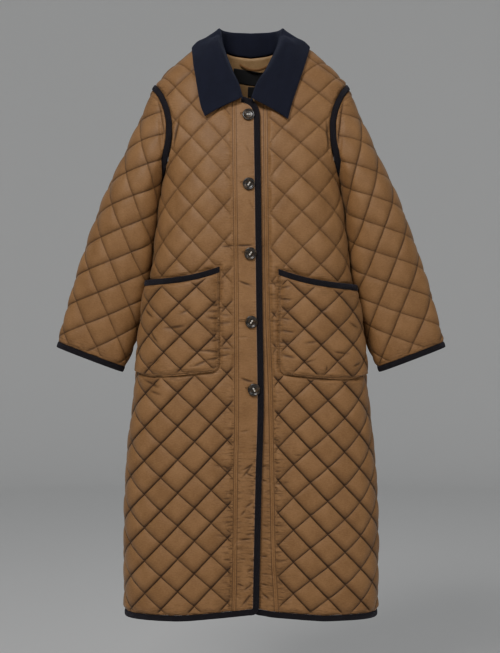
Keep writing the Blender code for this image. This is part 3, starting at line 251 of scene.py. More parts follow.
# The collar, as sections from a front end round to the centre back: the neck edge,
# the fold on top and the loose outer edge.
Fold = namedtuple("Fold", "neck_x neck_z fold_x fold_y fold_z edge_x edge_z")
COLLAR_FRONT_RIGHT = named(Fold, [
    (0.0190, -0.1235, 0.0195, -0.1040, -0.1290, 0.0905, -0.1685),
    (0.0330, -0.1125, 0.0270, -0.0900, -0.1000, 0.0985, -0.1480),
    (0.0500, -0.0900, 0.0380, -0.0740, -0.0740, 0.1035, -0.1245),
    (0.0660, -0.0600, 0.0510, -0.0530, -0.0380, 0.1095, -0.0880),
    (0.0735, -0.0300, 0.0610, -0.0270, -0.0040, 0.1145, -0.0560),
])
COLLAR_FRONT_LEFT = named(Fold, [
    (0.0030, -0.1270, 0.0030, -0.1040, -0.1310, 0.0725, -0.1750),
    (0.0240, -0.1200, 0.0150, -0.0900, -0.0970, 0.0800, -0.1450),
    (0.0500, -0.0900, 0.0310, -0.0740, -0.0700, 0.0905, -0.1120),
    (0.0660, -0.0600, 0.0460, -0.0530, -0.0380, 0.1030, -0.0730),
    (0.0735, -0.0300, 0.0590, -0.0270, -0.0040, 0.1110, -0.0450),
])
COLLAR_BACK = named(Fold, [
    (0.0712, 0.0, 0.0660, 0.0050, 0.0300, 0.1170, -0.0180),
    (0.0620, -0.0072, 0.0610, 0.0370, 0.0330, 0.1130, -0.0300),
    (0.0350, -0.0160, 0.0360, 0.0640, 0.0335, 0.0680, -0.0430),
    (0.0, -0.0200, 0.0, 0.0710, 0.0335, 0.0, -0.0480),
])
COLLAR_THICKNESS = 0.0032
COLLAR_CLEARANCE = 0.0088  # of the collar's middle from the cloth it lies over
COLLAR_SEAM = 0.0030
COLLAR_INSET = 0.0016
COLLAR_ROLL = 0.0055
COLLAR_BULGE = 0.003
COLLAR_STEPS = 4  # from one section to the next

LOOP_SPAN = (-0.023, 0.042)
LOOP_SAG = 0.0105
LOOP_WIDTH = 0.0055
LOOP_STAND_OFF = 0.0110
LOOP_SEAT = 0.0038
Patch = namedtuple("Patch", "name x z width height tilt thickness")
LABEL = Patch("neck_label", -0.006, -0.0570, 0.066, 0.030, -0.165, 0.0009)
SIZE_TAB = Patch("size_tab", 0.0011, -0.0865, 0.015, 0.021, -0.03, 0.0009)
LABEL_DEPTH = 0.0038

# The fold down the front of a sleeve beside its armhole.
SleeveFold = namedtuple("SleeveFold", "x top_z slope width depth middle_z half_length")
SLEEVE_FOLD = SleeveFold(0.186, -0.148, 0.06, 0.0035, 0.0030, -0.200, 0.062)

# Creases seen in the cloth, by where their middle is seen from the front. lean is the
# angle of the crease above the horizontal.
Crease = namedtuple("Crease", "x z lean length width depth")
CREASES = {
    "front_right": named(Crease, [
        (-0.046, -0.4300, 3, 0.020, 0.0022, 0.0022), (-0.048, -0.477, 26, 0.016, 0.0026, 0.0016),
        (-0.052, -0.553, 4, 0.022, 0.0022, 0.0016), (-0.050, -0.568, -8, 0.018, 0.0020, 0.0014),
        (-0.053, -0.583, 6, 0.026, 0.0024, 0.0018), (-0.051, -0.634, -5, 0.020, 0.0020, 0.0015),
        (-0.054, -0.648, 10, 0.024, 0.0024, 0.0017), (-0.200, -0.706, -24, 0.030, 0.0030, 0.0020),
        (-0.192, -0.724, -16, 0.026, 0.0026, 0.0016), (-0.150, -0.196, 78, 0.050, 0.0034, 0.0020),
        (-0.163, -0.215, 70, 0.040, 0.0028, 0.0014), (-0.060, -0.870, -6, 0.024, 0.0024, 0.0016),
        (-0.048, -0.935, 8, 0.022, 0.0022, 0.0016), (-0.055, -1.010, -4, 0.026, 0.0024, 0.0015),
        (-0.041, -0.8722, 35, 0.012, 0.0020, 0.0022), (-0.0466, -0.876, -30, 0.011, 0.0019, 0.0020),
        (-0.0466, -0.9432, 10, 0.012, 0.0019, 0.0018), (-0.0448, -0.9824, 5, 0.011, 0.0018, 0.0017),
        (-0.0448, -1.0004, -35, 0.011, 0.0018, 0.0017), (-0.0466, -1.0576, 6, 0.012, 0.0019, 0.0017),
    ]),
    "front_left": named(Crease, [
        (0.046, -0.504, 6, 0.022, 0.0022, 0.0016), (0.044, -0.527, -6, 0.020, 0.0020, 0.0015),
        (0.047, -0.534, 5, 0.016, 0.0018, 0.0013), (0.045, -0.580, -9, 0.024, 0.0022, 0.0017),
        (0.046, -0.600, 4, 0.020, 0.0020, 0.0014), (0.155, -0.205, 96, 0.052, 0.0034, 0.0020),
        (0.166, -0.228, 84, 0.040, 0.0028, 0.0015), (0.060, -0.905, 7, 0.026, 0.0024, 0.0017),
        (0.058, -0.990, -6, 0.022, 0.0022, 0.0015), (0.062, -1.060, 9, 0.024, 0.0024, 0.0016),
        (0.0516, -0.8186, -32, 0.014, 0.0020, 0.0022), (0.0498, -0.8256, -41, 0.011, 0.0018, 0.0017),
        (0.0516, -0.8628, -17, 0.012, 0.0018, 0.0017), (0.0536, -0.8804, -14, 0.013, 0.0018, 0.0017),
        (0.0516, -0.9164, -32, 0.013, 0.0018, 0.0016), (0.0522, -0.9536, -61, 0.012, 0.0018, 0.0015),
        (0.096, -0.849, -2, 0.014, 0.0020, 0.0016),
    ]),
    "placket_right": named(Crease, [
        (-0.012, -0.5045, -20, 0.021, 0.0022, 0.0024), (-0.008, -0.6985, -17, 0.019, 0.0022, 0.0026),
        (-0.016, -0.612, 5, 0.018, 0.0018, 0.0010), (-0.014, -0.4290, 1, 0.026, 0.0018, 0.0028),
        (-0.012, -0.800, 9, 0.016, 0.0020, 0.0014), (-0.0076, -0.8812, 53, 0.023, 0.0019, 0.0024),
        (-0.0062, -0.8728, 31, 0.018, 0.0018, 0.0024), (-0.002, -0.8884, -25, 0.013, 0.0018, 0.0022),
        (-0.0038, -0.948, 38, 0.016, 0.0018, 0.0022), (-0.0156, -0.9642, 50, 0.013, 0.0018, 0.0018),
        (-0.0044, -0.9748, -4, 0.013, 0.0016, 0.0018), (-0.0106, -1.0176, 4, 0.020, 0.0018, 0.0025),
        (-0.003, -1.0076, 10, 0.012, 0.0017, 0.0022), (-0.0056, -1.1136, 38, 0.016, 0.0019, 0.0025),
        (-0.0212, -1.1092, -26, 0.012, 0.0018, 0.0022), (-0.008, -1.1384, 51, 0.023, 0.0021, 0.0027),
        (-0.0012, -1.080, 36, 0.011, 0.0018, 0.0022), (-0.0174, -1.057, -6, 0.013, 0.0017, 0.0016),
        (0.001, -0.350, -64, 0.016, 0.0020, 0.0010), (-0.006, -0.236, -62, 0.020, 0.0022, 0.0010),
    ]),
    "placket_left": named(Crease, [
        (0.026, -0.430, -2, 0.012, 0.0020, 0.0012), (0.0292, -0.8256, -10, 0.009, 0.0017, 0.0014),
        (0.0262, -0.8716, 3, 0.010, 0.0018, 0.0020), (0.0256, -0.9002, -14, 0.010, 0.0018, 0.0020),
        (0.0286, -0.991, -14, 0.011, 0.0018, 0.0018), (0.030, -1.018, -1, 0.013, 0.0017, 0.0018),
        (0.0268, -1.0526, 0, 0.011, 0.0018, 0.0022), (0.028, -1.0884, -2, 0.012, 0.0017, 0.0018),
        (0.0268, -1.1096, -8, 0.012, 0.0018, 0.0022), (0.0292, -1.1328, -36, 0.015, 0.0021, 0.0026),
    ]),
    "pocket_right": named(Crease, [
        (-0.196, -0.566, -38, 0.022, 0.0022, 0.0024), (-0.190, -0.612, -52, 0.024, 0.0023, 0.0022),
        (-0.128, -0.560, 30, 0.020, 0.0021, 0.0020), (-0.100, -0.664, 24, 0.024, 0.0023, 0.0024),
        (-0.196, -0.664, 18, 0.024, 0.0023, 0.0022),
        (-0.072, -0.548, 7, 0.018, 0.0022, 0.0026), (-0.074, -0.574, -4, 0.020, 0.0022, 0.0026),
        (-0.070, -0.618, 9, 0.018, 0.0022, 0.0026), (-0.076, -0.640, -8, 0.022, 0.0024, 0.0029),
        (-0.074, -0.655, 12, 0.018, 0.0022, 0.0026), (-0.140, -0.672, 82, 0.014, 0.0022, 0.0020),
        (-0.148, -0.592, 8, 0.036, 0.0026, 0.0023), (-0.104, -0.638, -7, 0.026, 0.0024, 0.0022),
        (-0.072, -0.560, 5, 0.022, 0.0022, 0.0020), (-0.070, -0.600, -6, 0.020, 0.0022, 0.0019),
    ]),
    "pocket_left": named(Crease, [
        (0.140, -0.560, 34, 0.024, 0.0022, 0.0022), (0.200, -0.590, -28, 0.022, 0.0022, 0.0021),
        (0.110, -0.662, 16, 0.026, 0.0023, 0.0023), (0.208, -0.668, 22, 0.020, 0.0022, 0.0021),
        (0.068, -0.536, -6, 0.020, 0.0022, 0.0026), (0.070, -0.556, 8, 0.018, 0.0022, 0.0023),
        (0.072, -0.600, -9, 0.022, 0.0022, 0.0026), (0.068, -0.622, 5, 0.018, 0.0022, 0.0026),
        (0.074, -0.650, -14, 0.020, 0.0024, 0.0026), (0.150, -0.676, 94, 0.014, 0.0022, 0.0020),
        (0.178, -0.644, -9, 0.026, 0.0024, 0.0023), (0.066, -0.512, 6, 0.022, 0.0022, 0.0020),
        (0.068, -0.575, -6, 0.022, 0.0022, 0.0020), (0.120, -0.622, 8, 0.024, 0.0022, 0.0019),
    ]),
}

# How each piece's stitch lines wander, as weights of the powers of its flat coordinates (see bent).
FRONT_SPAN = Span(0.15, 0.15, -0.65, 0.50)  # middle and reach across, middle and reach up
SLEEVE_SPAN = Span(0.10, 0.10, 0.27, 0.20)
BENDS = {
    "front_right": (
        (0.00013, 0.00675, 0.00150, 0.01136, 0.00395, 0.00250, -0.00080, 0.00835, -0.00053, 0.00087),
        (-0.00410, -0.00765, 0.01188, 0.00492, 0.01370, -0.00145, 0.01096, -0.00029, 0.00281, -0.00643),
    ),
    "front_left": (
        (0.00135, 0.01250, 0.00382, 0.00353, 0.01129, 0.00038, -0.02264, 0.00190, 0.01119, -0.00290),
        (-0.00146, -0.00695, 0.01881, 0.01217, 0.02192, -0.00022, 0.02356, 0.00555, 0.00187, -0.01226),
    ),
    "sleeve_right": (
        (-2.1712, -1.3130, 3.0780, -0.1482, 0.0708, -0.1815),
        (1.0957, -1.4701, -2.5469, -0.1070, -0.0184, -0.1757),
    ),
    "sleeve_left": (
        (-1.9485, 1.5498, 2.4724, 0.1155, 0.0869, 0.1751),
        (3.2575, 1.2047, -3.2059, 0.1600, -0.0616, 0.1721),
    ),
}

# ---------------------------------------------------------------- the photograph's view
PIXELS_PER_METRE = 480.0  # at the shoulders' plane
PICTURE_HEIGHT = 653.0
CAMERA_DISTANCE = 2.9
CAMERA_X = -0.002
CAMERA_Z = -0.5906
SENSOR = 36.0
FLOOR_Z = -1.50
FLOOR_FLAT = 5.0  # radius of the level floor
FLOOR_SWEEP = 1.2  # radius of the curve up to its rim
FLOOR_RIM = 3.6
LIGHTS = [  # name, place, target, size and power
    ("key", (-1.2, -3.0, 2.0), (0, 0, -0.8), (1.2, 1.0), 101),
    ("fill", (1.7, -2.7, 0.9), (0, 0, -0.7), (1.6, 1.6), 25),
    ("top", (0.2, 0.9, 2.4), (0, 0, -0.3), (1.6, 1.6), 8),
]
WORLD_COLOUR = (0.93, 0.96, 1.0)
WORLD_STRENGTH = 0.22


# ---------------------------------------------------------------- curves
def curve_through(points):
    """A smooth curve through (x, y) points that never overshoots them."""
    xs, ys = np.array(sorted(points), dtype=float).T
    steps = np.diff(xs)
    slopes = np.diff(ys) / steps
    tangents = np.empty_like(ys)
    tangents[0], tangents[-1] = slopes[0], slopes[-1]
    for i in range(1, len(xs) - 1):
        before, after = slopes[i - 1], slopes[i]
        if before * after <= 0:
            tangents[i] = 0.0
            continue
        near = 2 * steps[i] + steps[i - 1]
        far = steps[i] + 2 * steps[i - 1]
        tangents[i] = (near + far) / (near / before + far / after)

    def value(x):
        x = np.clip(x, xs[0], xs[-1])
        i = np.clip(np.searchsorted(xs, x) - 1, 0, len(steps) - 1)
        t = (x - xs[i]) / steps[i]
        rise = t * t * (3 - 2 * t)
        ends = ys[i] * (1 - rise) + ys[i + 1] * rise
        bend = t * (1 - t) ** 2 * tangents[i] - t * t * (1 - t) * tangents[i + 1]
        return ends + steps[i] * bend

    return value


def column(table, key, name):
    return curve_through([(getattr(row, key), getattr(row, name)) for row in table])


def smoothstep(x):
    x = np.clip(x, 0.0, 1.0)
    return x * x * (3 - 2 * x)


def smallest(*values):
    return functools.reduce(np.minimum, values)


def largest(*values):
    return functools.reduce(np.maximum, values)


def fading(distance, reach):
    """1 at an edge and less and less away from it."""
    return np.exp(-distance / reach)


def signed_power(values, power):
    return np.sign(values) * np.abs(values) ** power


def distances(path):
    """Distance along a path from its first point to each of its points."""
    return np.concatenate([[0], np.cumsum(np.linalg.norm(np.diff(path, axis=0), axis=1))])


def round_turns(count):
    """Directions round a full turn, evenly spaced."""
    return np.linspace(0, 2 * math.pi, count + 1)[:-1]


def spread(path, count):
    """A path's points again, evenly spaced along it."""
    points = np.asarray(path, dtype=float)
    lengths = distances(points)
    places = np.linspace(0, lengths[-1], count)
    return np.stack([np.interp(places, lengths, points[:, k]) for k in range(points.shape[1])], axis=1)


def odd(length, step):
    """How many points divide a length into an even number of steps of about this size."""
    return 2 * max(1, round(length / step / 2)) + 1


def noise(seed, *places):
    """Smooth noise from -1 to 1 over one or two coordinates."""
    size = 64
    grid = np.random.default_rng(seed).uniform(-1, 1, (size, size))
    x = np.asarray(places[0], dtype=float)
    y = np.asarray(places[1], dtype=float) if len(places) > 1 else np.zeros_like(x)
    i, j = np.floor(x).astype(int), np.floor(y).astype(int)
    s, t = smoothstep(x - i), smoothstep(y - j)
    low = grid[i % size, j % size] * (1 - s) + grid[(i + 1) % size, j % size] * s
    high = grid[i % size, (j + 1) % size] * (1 - s) + grid[(i + 1) % size, (j + 1) % size] * s
    return low * (1 - t) + high * t


def unit(vectors):
    return vectors / np.maximum(np.linalg.norm(vectors, axis=-1), 1e-12)[..., None]


def refined(grid, axis, times):
    """A grid of points with times as many steps along an axis, on smooth curves."""
    grid = np.moveaxis(np.asarray(grid, dtype=float), axis, 0)
    padded = np.concatenate([[2 * grid[0] - grid[1]], grid, [2 * grid[-1] - grid[-2]]])
    rows = []
    for place in np.linspace(0, len(grid) - 1, (len(grid) - 1) * times + 1):
        i = min(int(place), len(grid) - 2)
        t = place - i
        a, b, c, d = padded[i:i + 4]
        rows.append(0.5 * (2 * b + (c - a) * t + (2 * a - 5 * b + 4 * c - d) * t**2
                           + (3 * b - a - 3 * c + d) * t**3))
    return np.moveaxis(np.array(rows), 0, axis)


# ---------------------------------------------------------------- the body's surface
HALF_WIDTH = column(TORSO, "z", "half_width")
DEPTH = {FRONT: column(TORSO, "z", "front"), BACK: column(TORSO, "z", "back")}
POWER = {FRONT: column(TORSO, "z", "front_power"), BACK: column(TORSO, "z", "back_power")}
SHOULDER_LOW = -0.098
SEAM_EASE = 0.007  # within this of the plane between front and back both face the same way
PROBE = 0.0015


def ridge_z(x):
    """Height of the shoulders' ridge at a distance x from the middle."""
    heights = np.linspace(SHOULDER_LOW, 0, 500)
    return np.interp(x, HALF_WIDTH(heights)[::-1], heights[::-1])


def depth_at(face, x, z):
    power = POWER[face](z)
    share = np.clip(np.abs(x) / HALF_WIDTH(z), 0, 1)
    return DEPTH[face](z) * np.clip(1 - share**power, 0, 1) ** (1 / power)


class Surface:
    """The body's front or back, held as tables that flat coordinates are looked up in."""

    BOTTOM = -1.27
    ROWS = 461
    SHARES = 240
    LIFTS = 90
    QUARTER_STEPS = 160

    def __init__(self, face):
        self.face = face
        self.heights = np.linspace(self.BOTTOM, YOKE_Z, self.ROWS)
        shares = np.linspace(0, 1, self.SHARES)
        self.girths = np.empty(self.ROWS)
        self.below = np.empty((self.ROWS, self.SHARES, 2))
        for i, z in enumerate(self.heights):
            x, y, lengths = self.quarter(z)
            self.girths[i] = lengths[-1]
            self.below[i, :, 0] = np.interp(shares * lengths[-1], lengths, x)
            self.below[i, :, 1] = np.interp(shares * lengths[-1], lengths, y)
        self.widest = float(HALF_WIDTH(YOKE_Z))
        self.lifts = np.empty(self.SHARES)
        self.above = np.empty((self.SHARES, self.LIFTS, 2))
        for i, x in enumerate(shares * self.widest):
            z, lengths = self.rise(x)
            self.lifts[i] = lengths[-1]
            even = np.linspace(0, lengths[-1], self.LIFTS)
            self.above[i, :, 0] = np.interp(even, lengths, z)
            self.above[i, :, 1] = depth_at(face, x, self.above[i, :, 0])

    def quarter(self, z):
        """x, depth and distance round the section at z, from its centre line to its side."""
        turn = np.linspace(0, math.pi / 2, self.QUARTER_STEPS)
        power = POWER[self.face](z)
        reach = (np.sin(turn) / HALF_WIDTH(z)) ** power + (np.cos(turn) / DEPTH[self.face](z)) ** power
        x, y = reach ** (-1 / power) * np.sin(turn), reach ** (-1 / power) * np.cos(turn)
        return x, y, np.concatenate([[0], np.cumsum(np.hypot(np.diff(x), np.diff(y)))])

    def rise(self, x):
        """Heights above x from the yoke to the ridge, and the cloth's length up to each."""
        z = YOKE_Z + (float(ridge_z(x)) - YOKE_Z) * np.sin(np.linspace(0, math.pi / 2, self.LIFTS))
        y = depth_at(self.face, x, z)
        return z, np.concatenate([[0], np.cumsum(np.hypot(np.diff(z), np.diff(y)))])

    def girth(self, z):
        """Distance round from the centre line to the side seam."""
        return np.interp(z, self.heights, self.girths)

    @staticmethod
    def looked_up(table, row, share):
        row = np.clip(row, 0, table.shape[0] - 1.001)
        share = np.clip(share, 0, table.shape[1] - 1.001)
        i, j = row.astype(int), share.astype(int)
        s, t = (row - i)[..., None], (share - j)[..., None]
        low = table[i, j] * (1 - s) + table[i + 1, j] * s
        high = table[i, j + 1] * (1 - s) + table[i + 1, j + 1] * s
        return low * (1 - t) + high * t

    def points(self, across, up):
        across, up = np.broadcast_arrays(np.asarray(across, dtype=float), np.asarray(up, dtype=float))
        side = np.where(across < 0, -1.0, 1.0)
        height = np.minimum(up, YOKE_Z)
        share = np.abs(across) / self.girth(height)
        row = (height - self.BOTTOM) / (YOKE_Z - self.BOTTOM) * (self.ROWS - 1)
        low = self.looked_up(self.below, row, share * (self.SHARES - 1))
        x, y = low[..., 0], low[..., 1]
        place = x / self.widest * (self.SHARES - 1)
        lift = np.interp(place, np.arange(self.SHARES), self.lifts)
        high = self.looked_up(self.above, place, (up - YOKE_Z) / lift * (self.LIFTS - 1))
        over = up > YOKE_Z
        z = np.where(over, high[..., 0], up)
        y = np.where(over, high[..., 1], y)
        return np.stack([side * x, self.face * np.maximum(y, SEAM_GAP / 2), z], axis=-1)

    def frame(self, across, up):
        """Points of the surface and the directions out of it."""
        across, up = np.broadcast_arrays(np.asarray(across, dtype=float), np.asarray(up, dtype=float))
        side = np.where(across < 0, -1.0, 1.0)
        here = self.points(across, up)
        inwards = self.points(across - side * PROBE, up)
        below = self.points(across, up - PROBE)
        out = unit(np.cross((here - inwards) * side[..., None], here - below) * -self.face)
        facing = out * [1, 0, 1]
        x = np.abs(here[..., 0])
        slope = side * (ridge_z(x - PROBE) - ridge_z(x))
        ridge = np.stack([slope, np.zeros_like(x), np.full_like(x, PROBE)], axis=-1)
        facing = unit(np.where((up > YOKE_Z)[..., None], ridge, facing))
        share = smoothstep(np.abs(here[..., 1]) / SEAM_EASE)[..., None]
        return here, unit(facing * (1 - share) + out * share)

    def flat(self, x, z):
        """Flat coordinates of the point of the surface at x and z."""
        if z <= YOKE_Z:
            xs, _, lengths = self.quarter(z)
            return float(np.interp(x, xs, lengths)), float(z)
        xs, _, lengths = self.quarter(YOKE_Z)
        heights, up = self.rise(x)
        return float(np.interp(x, xs, lengths)), YOKE_Z + float(np.interp(z, heights, up))


BODY = {FRONT: Surface(FRONT), BACK: Surface(BACK)}

# ---------------------------------------------------------------- edges of the pieces
NECK = {FRONT: NECK_FRONT, BACK: NECK_BACK}
ARMHOLE_X = {FRONT: column(ARMHOLE, "z", "front_x"), BACK: column(ARMHOLE, "z", "back_x")}
SEAM = {RIGHT: column(LAPS, "z", "right_seam"), LEFT: column(LAPS, "z", "left_seam")}
RIGHT_EDGE = column(LAPS, "z", "right_edge")
LEANS = {"front_right": column(LEAN, "z", "right"), "front_left": column(LEAN, "z", "left")}
UNDERARM_Z = ARMHOLE[-1].z


def side_name(side):
    return "right" if side == RIGHT else "left"


def closing_edge(side, z):
    """The outer edge of a front, measured from the centre front, negative past it."""
    return RIGHT_EDGE(z) if side == RIGHT else SEAM[LEFT](z) - PLACKET_WIDTH


def hem_height(across):
    return HEM_Z + HEM_RISE * np.maximum(0.0, 1 - np.abs(across) / HEM_RISE_REACH) ** 1.2


def neck_path(face, first_x):
    """The neck edge from first_x up to the side of the neck, as flat points."""
    rows = np.array(NECK[face], dtype=float)
    lengths = distances(rows)
    x_at = curve_through(list(zip(lengths, rows[:, 0])))
    z_at = curve_through(list(zip(lengths, rows[:, 1])))
    fine = np.linspace(0, lengths[-1], 400)
    start = fine[np.argmax(x_at(fine) >= first_x)]
    return [BODY[face].flat(float(x_at(t)), float(z_at(t))) for t in np.linspace(start, lengths[-1], 60)]


def shoulder_path(face):
    """The shoulder seam from the neck down to the armhole."""
    xs = np.linspace(NECK[face][-1].x, ARMHOLE[0].front_x, 40)
    flat = [BODY[face].flat(float(x), float(ridge_z(x))) for x in xs]
    return [(across, up - SEAM_GAP / 2) for across, up in flat]


def armhole_path(face, turns=None):
    """The body's edge at the armhole, from the shoulder tip to the underarm."""
    turns = np.linspace(0, math.pi, 80) if turns is None else turns
    tip = float(ridge_z(ARMHOLE[0].front_x))
    heights = (tip + UNDERARM_Z) / 2 + (tip - UNDERARM_Z) / 2 * np.cos(turns)
    return [BODY[face].flat(float(ARMHOLE_X[face](z)), float(z)) for z in heights]


def bend(start, corner, end, count):
    """A rounded corner, without its two ends."""
    t = np.linspace(0, 1, count + 2)[1:-1, None]
    return [tuple(p) for p in (1 - t) ** 2 * np.array(start) + 2 * t * (1 - t) * np.array(corner)
            + t * t * np.array(end)]


def finished_edge(side):
    """The bound edge of a front: neck corner, front edge, bottom corner and hem."""
    neck = NECK_CORNER[side]
    top, bottom = EDGE_TOP_Z, HEM_Z + HEM_RISE + HEM_CORNER
    upper = (float(closing_edge(side, top)), top)
    lower = (float(closing_edge(side, bottom)), bottom)
    hem_start = lower[0] + HEM_CORNER
    path = [neck, *bend(neck, (upper[0], NECK_TURN_Z), upper, 18)]
    path += [(float(closing_edge(side, z)), float(z)) for z in np.linspace(top, bottom, 330)]
    corner = (float(closing_edge(side, HEM_Z)), float(hem_height(lower[0])))
    path += bend(lower, corner, (hem_start, float(hem_height(hem_start))), 10)
    end = float(BODY[FRONT].girth(HEM_Z)) - SEAM_GAP / 2
    path += [(float(u), float(hem_height(u))) for u in np.linspace(hem_start, end, 110)]
    return np.array(path)


def moved_in(path, distance):
    """The path shifted to its left by distance."""
    along = unit(np.gradient(path, axis=0))
    return path + distance * np.stack([-along[:, 1], along[:, 0]], axis=1)


def inside_edge(side):
    """Where the cloth of a front ends and its binding starts."""
    path = moved_in(finished_edge(side), BINDING_WIDTH)
    path[-1, 0] = BODY[FRONT].girth(HEM_Z) - SEAM_GAP / 2
    return path


def pocket_width(pocket):
    return float(BODY[FRONT].girth(pocket.mouth_outer)) - POCKET_SIDE_GAP - pocket.inner


def pocket_edges(pocket):
    """A pocket's mouth from its inner corner out, and its outer, lower and inner sewn edges."""
    girth = BODY[FRONT].girth
    height = pocket.mouth_inner
    width = pocket_width(pocket)
    shares = np.linspace(0, 1, 60)
    drop = pocket.mouth_outer - height
    mouth = np.stack([pocket.inner + shares * width,
                      height + drop * (1 - (1 - shares) ** pocket.mouth_power)], axis=1)
    bottom = curve_through([
        (0.0, pocket.bottom_inner), (0.62, pocket.bottom_middle), (1.0, pocket.bottom_outer)])
    low = float(bottom(1.0)) + 0.004
    heights = np.linspace(pocket.mouth_outer, low, 50)
    outer = np.stack([girth(heights) - POCKET_SIDE_GAP, heights], axis=1)
    corner = POCKET_CORNER / width
    spots = np.linspace(0.985, corner, 50)
    base = np.stack([pocket.inner + spots * width, bottom(spots)], axis=1)
    turn = (pocket.inner, base[-1][1] + POCKET_CORNER)
    rounded_corner = np.array(bend(base[-1], (pocket.inner, base[-1][1]), turn, 9))
    heights = np.linspace(turn[1], height, 50)
    inner = np.stack([np.full(50, pocket.inner), heights], axis=1)
    base = np.concatenate([base, rounded_corner[:5]])
    return mouth, outer, base, np.concatenate([rounded_corner[4:], inner])


def distance_to(path, across, up):
    """Distance of flat points from a path."""
    nearest = np.full(np.shape(across), np.inf)
    for (ax, ay), (bx, by) in zip(path[:-1], path[1:]):
        dx, dy = bx - ax, by - ay
        share = np.clip(((across - ax) * dx + (up - ay) * dy) / max(dx * dx + dy * dy, 1e-12), 0, 1)
        nearest = np.minimum(nearest, np.hypot(ax + share * dx - across, ay + share * dy - up))
    return nearest


def inside(path, across, up):
    """Whether flat points lie inside a closed path."""
    crossed = np.zeros(np.shape(across), dtype=bool)
    for (ax, ay), (bx, by) in zip(path, np.roll(path, -1, axis=0)):
        if ay == by:
            continue
        crossed ^= ((ay > up) != (by > up)) & (across < ax + (up - ay) / (by - ay) * (bx - ax))
    return crossed


# ---------------------------------------------------------------- how the cloth hangs
def creased(name, side, across, up):
    """How far a piece's creases push its flat points in."""
    depth = np.zeros(np.shape(across))
    for crease in CREASES.get(name, ()):
        a, b = BODY[FRONT].flat(abs(crease.x), crease.z)
        a *= side * math.copysign(1, crease.x)
        angle = math.radians(crease.lean) * side
        du, dw = across - a, up - b
        along = (du * math.cos(angle) + dw * math.sin(angle)) / crease.length
        aside = (dw * math.cos(angle) - du * math.sin(angle)) / crease.width - 0.7 * along**2
        depth += crease.depth * np.exp(-aside**2) * np.clip(1 - along**2, 0, 1) ** 2
    return depth


def fold_shadow(depth, full=FOLD_DEPTH):
    """How much painted shadow the creases get where they are this deep."""
    return np.clip(depth / full, 0, 1) ** 1.5


def drawn_in(to_row):
    """What a row of top stitching takes off the cloth at a distance from it."""
    return ROW_HEIGHT * np.exp(-((to_row / ROW_WIDTH) ** 2))


def seam_relief(to_seam):
    """What a placket's seam and the row beside it take off the cloth."""
    return drawn_in(to_seam - STITCH_ROW) - 0.0006 * smoothstep((STITCH_ROW - to_seam) / 0.003)


def past_row(to_seam):
    """0 between the two rows of stitching and 1 outside them, where the cloth can pucker."""
    return smoothstep((to_seam - 0.9 * STITCH_ROW) / (0.5 * STITCH_ROW))


def drape(face, side, across, up):
    """The slow waves of the hanging cloth, still at seams, over the shoulders and under the buttons."""
    seed = {(FRONT, RIGHT): 11, (FRONT, LEFT): 12, (BACK, RIGHT): 13, (BACK, LEFT): 13}[face, side]
    room = BODY[face].girth(np.minimum(up, YOKE_Z)) - np.abs(across)
    still = smoothstep((-0.20 - up) / 0.12) * smoothstep(room / 0.05)
    if face == FRONT:
        still = still * smoothstep((across - 0.045) / 0.05)
    waves = noise(seed, across / 0.085, up / 0.21) + 0.45 * noise(seed + 20, across / 0.04, up / 0.11)
    return DRAPE * still * waves * smoothstep((-0.25 - up) / 0.6 + 0.35)


def front_frame(side):
    surface = BODY[FRONT]

    def frame(across, up):
        here, out = surface.frame(side * np.asarray(across, dtype=float), up)
        lift = drape(FRONT, side, across, up)
        if side == LEFT:
            covered = LAP_SPARE - closing_edge(RIGHT, up)
            lift = lift - UNDER_LAP_DROP * (1 - smoothstep((across - covered) / LAP_RAMP))
        return here + out * lift[..., None], out

    return frame


def back_frame(across, up):
    here, out = BODY[BACK].frame(across, up)
    return here + out * drape(BACK, RIGHT, across, up)[..., None], out


def pocket_frame(pocket):
    front = front_frame(pocket.side)
    width = pocket_width(pocket)

    def frame(across, up):
        here, out = front(across, up)
        share = np.clip((across - pocket.inner) / width, 0, 1)
        height = np.clip((up - pocket.bottom_middle) / (pocket.mouth_inner - pocket.bottom_middle), 0, 1)
        lift = POCKET_LIFT + POCKET_BELLY * np.sin(math.pi * share) ** 0.8 * height**1.3 + WALL
        edge = smallest(across - pocket.inner, width * (1 - share), (up - pocket.bottom_middle) + 0.006)
        lift = (WALL + POCKET_RIM) + (lift - WALL - POCKET_RIM) * smoothstep(edge / 0.020)
        return here + out * lift[..., None], out

    return frame


# ---------------------------------------------------------------- quilting
def bent(weights, span, across, up):
    """A piece's wander: a sum of powers, held level past the reach of its span."""
    a, b = (across - span.across) / span.across_reach, (up - span.up) / span.up_reach
    i, j = np.clip(a, -1, 1), np.clip(b, -1, 1)
    if len(weights) > 6:
        a, b = i, j
    powers = (1, a, b, i * i, i * j, j * j, i**3, i * i * j, i * j * j, j**3)
    return sum(weight * power for weight, power in zip(weights, powers))


def in_quilting(name, across, up):
    """Stitch lines' coordinates of flat points: a line runs wherever one of the two is whole."""
    if name.startswith("sleeve"):
        return tuple(bent(weights, SLEEVE_SPAN, across, up) for weights in BENDS[name])
    aside, above = (bent(weights, FRONT_SPAN, across, up) for weights in BENDS.get(name, ((), ())))
    if name in LEANS:
        across = across - LEANS[name](up)
    if name.startswith(("front", "back")):
        up = np.where(up > WAIST_Z, WAIST_Z + (up - WAIST_Z) / CHEST_STRETCH, up)
    across, up = across - aside, up - above
    start = QUILT_START[name]
    right = (across - start.across) / DIAMOND_HALF_WIDTH
    rise = (up - start.up) / DIAMOND_HALF_HEIGHT
    return (right + rise) / 2, (right - rise) / 2


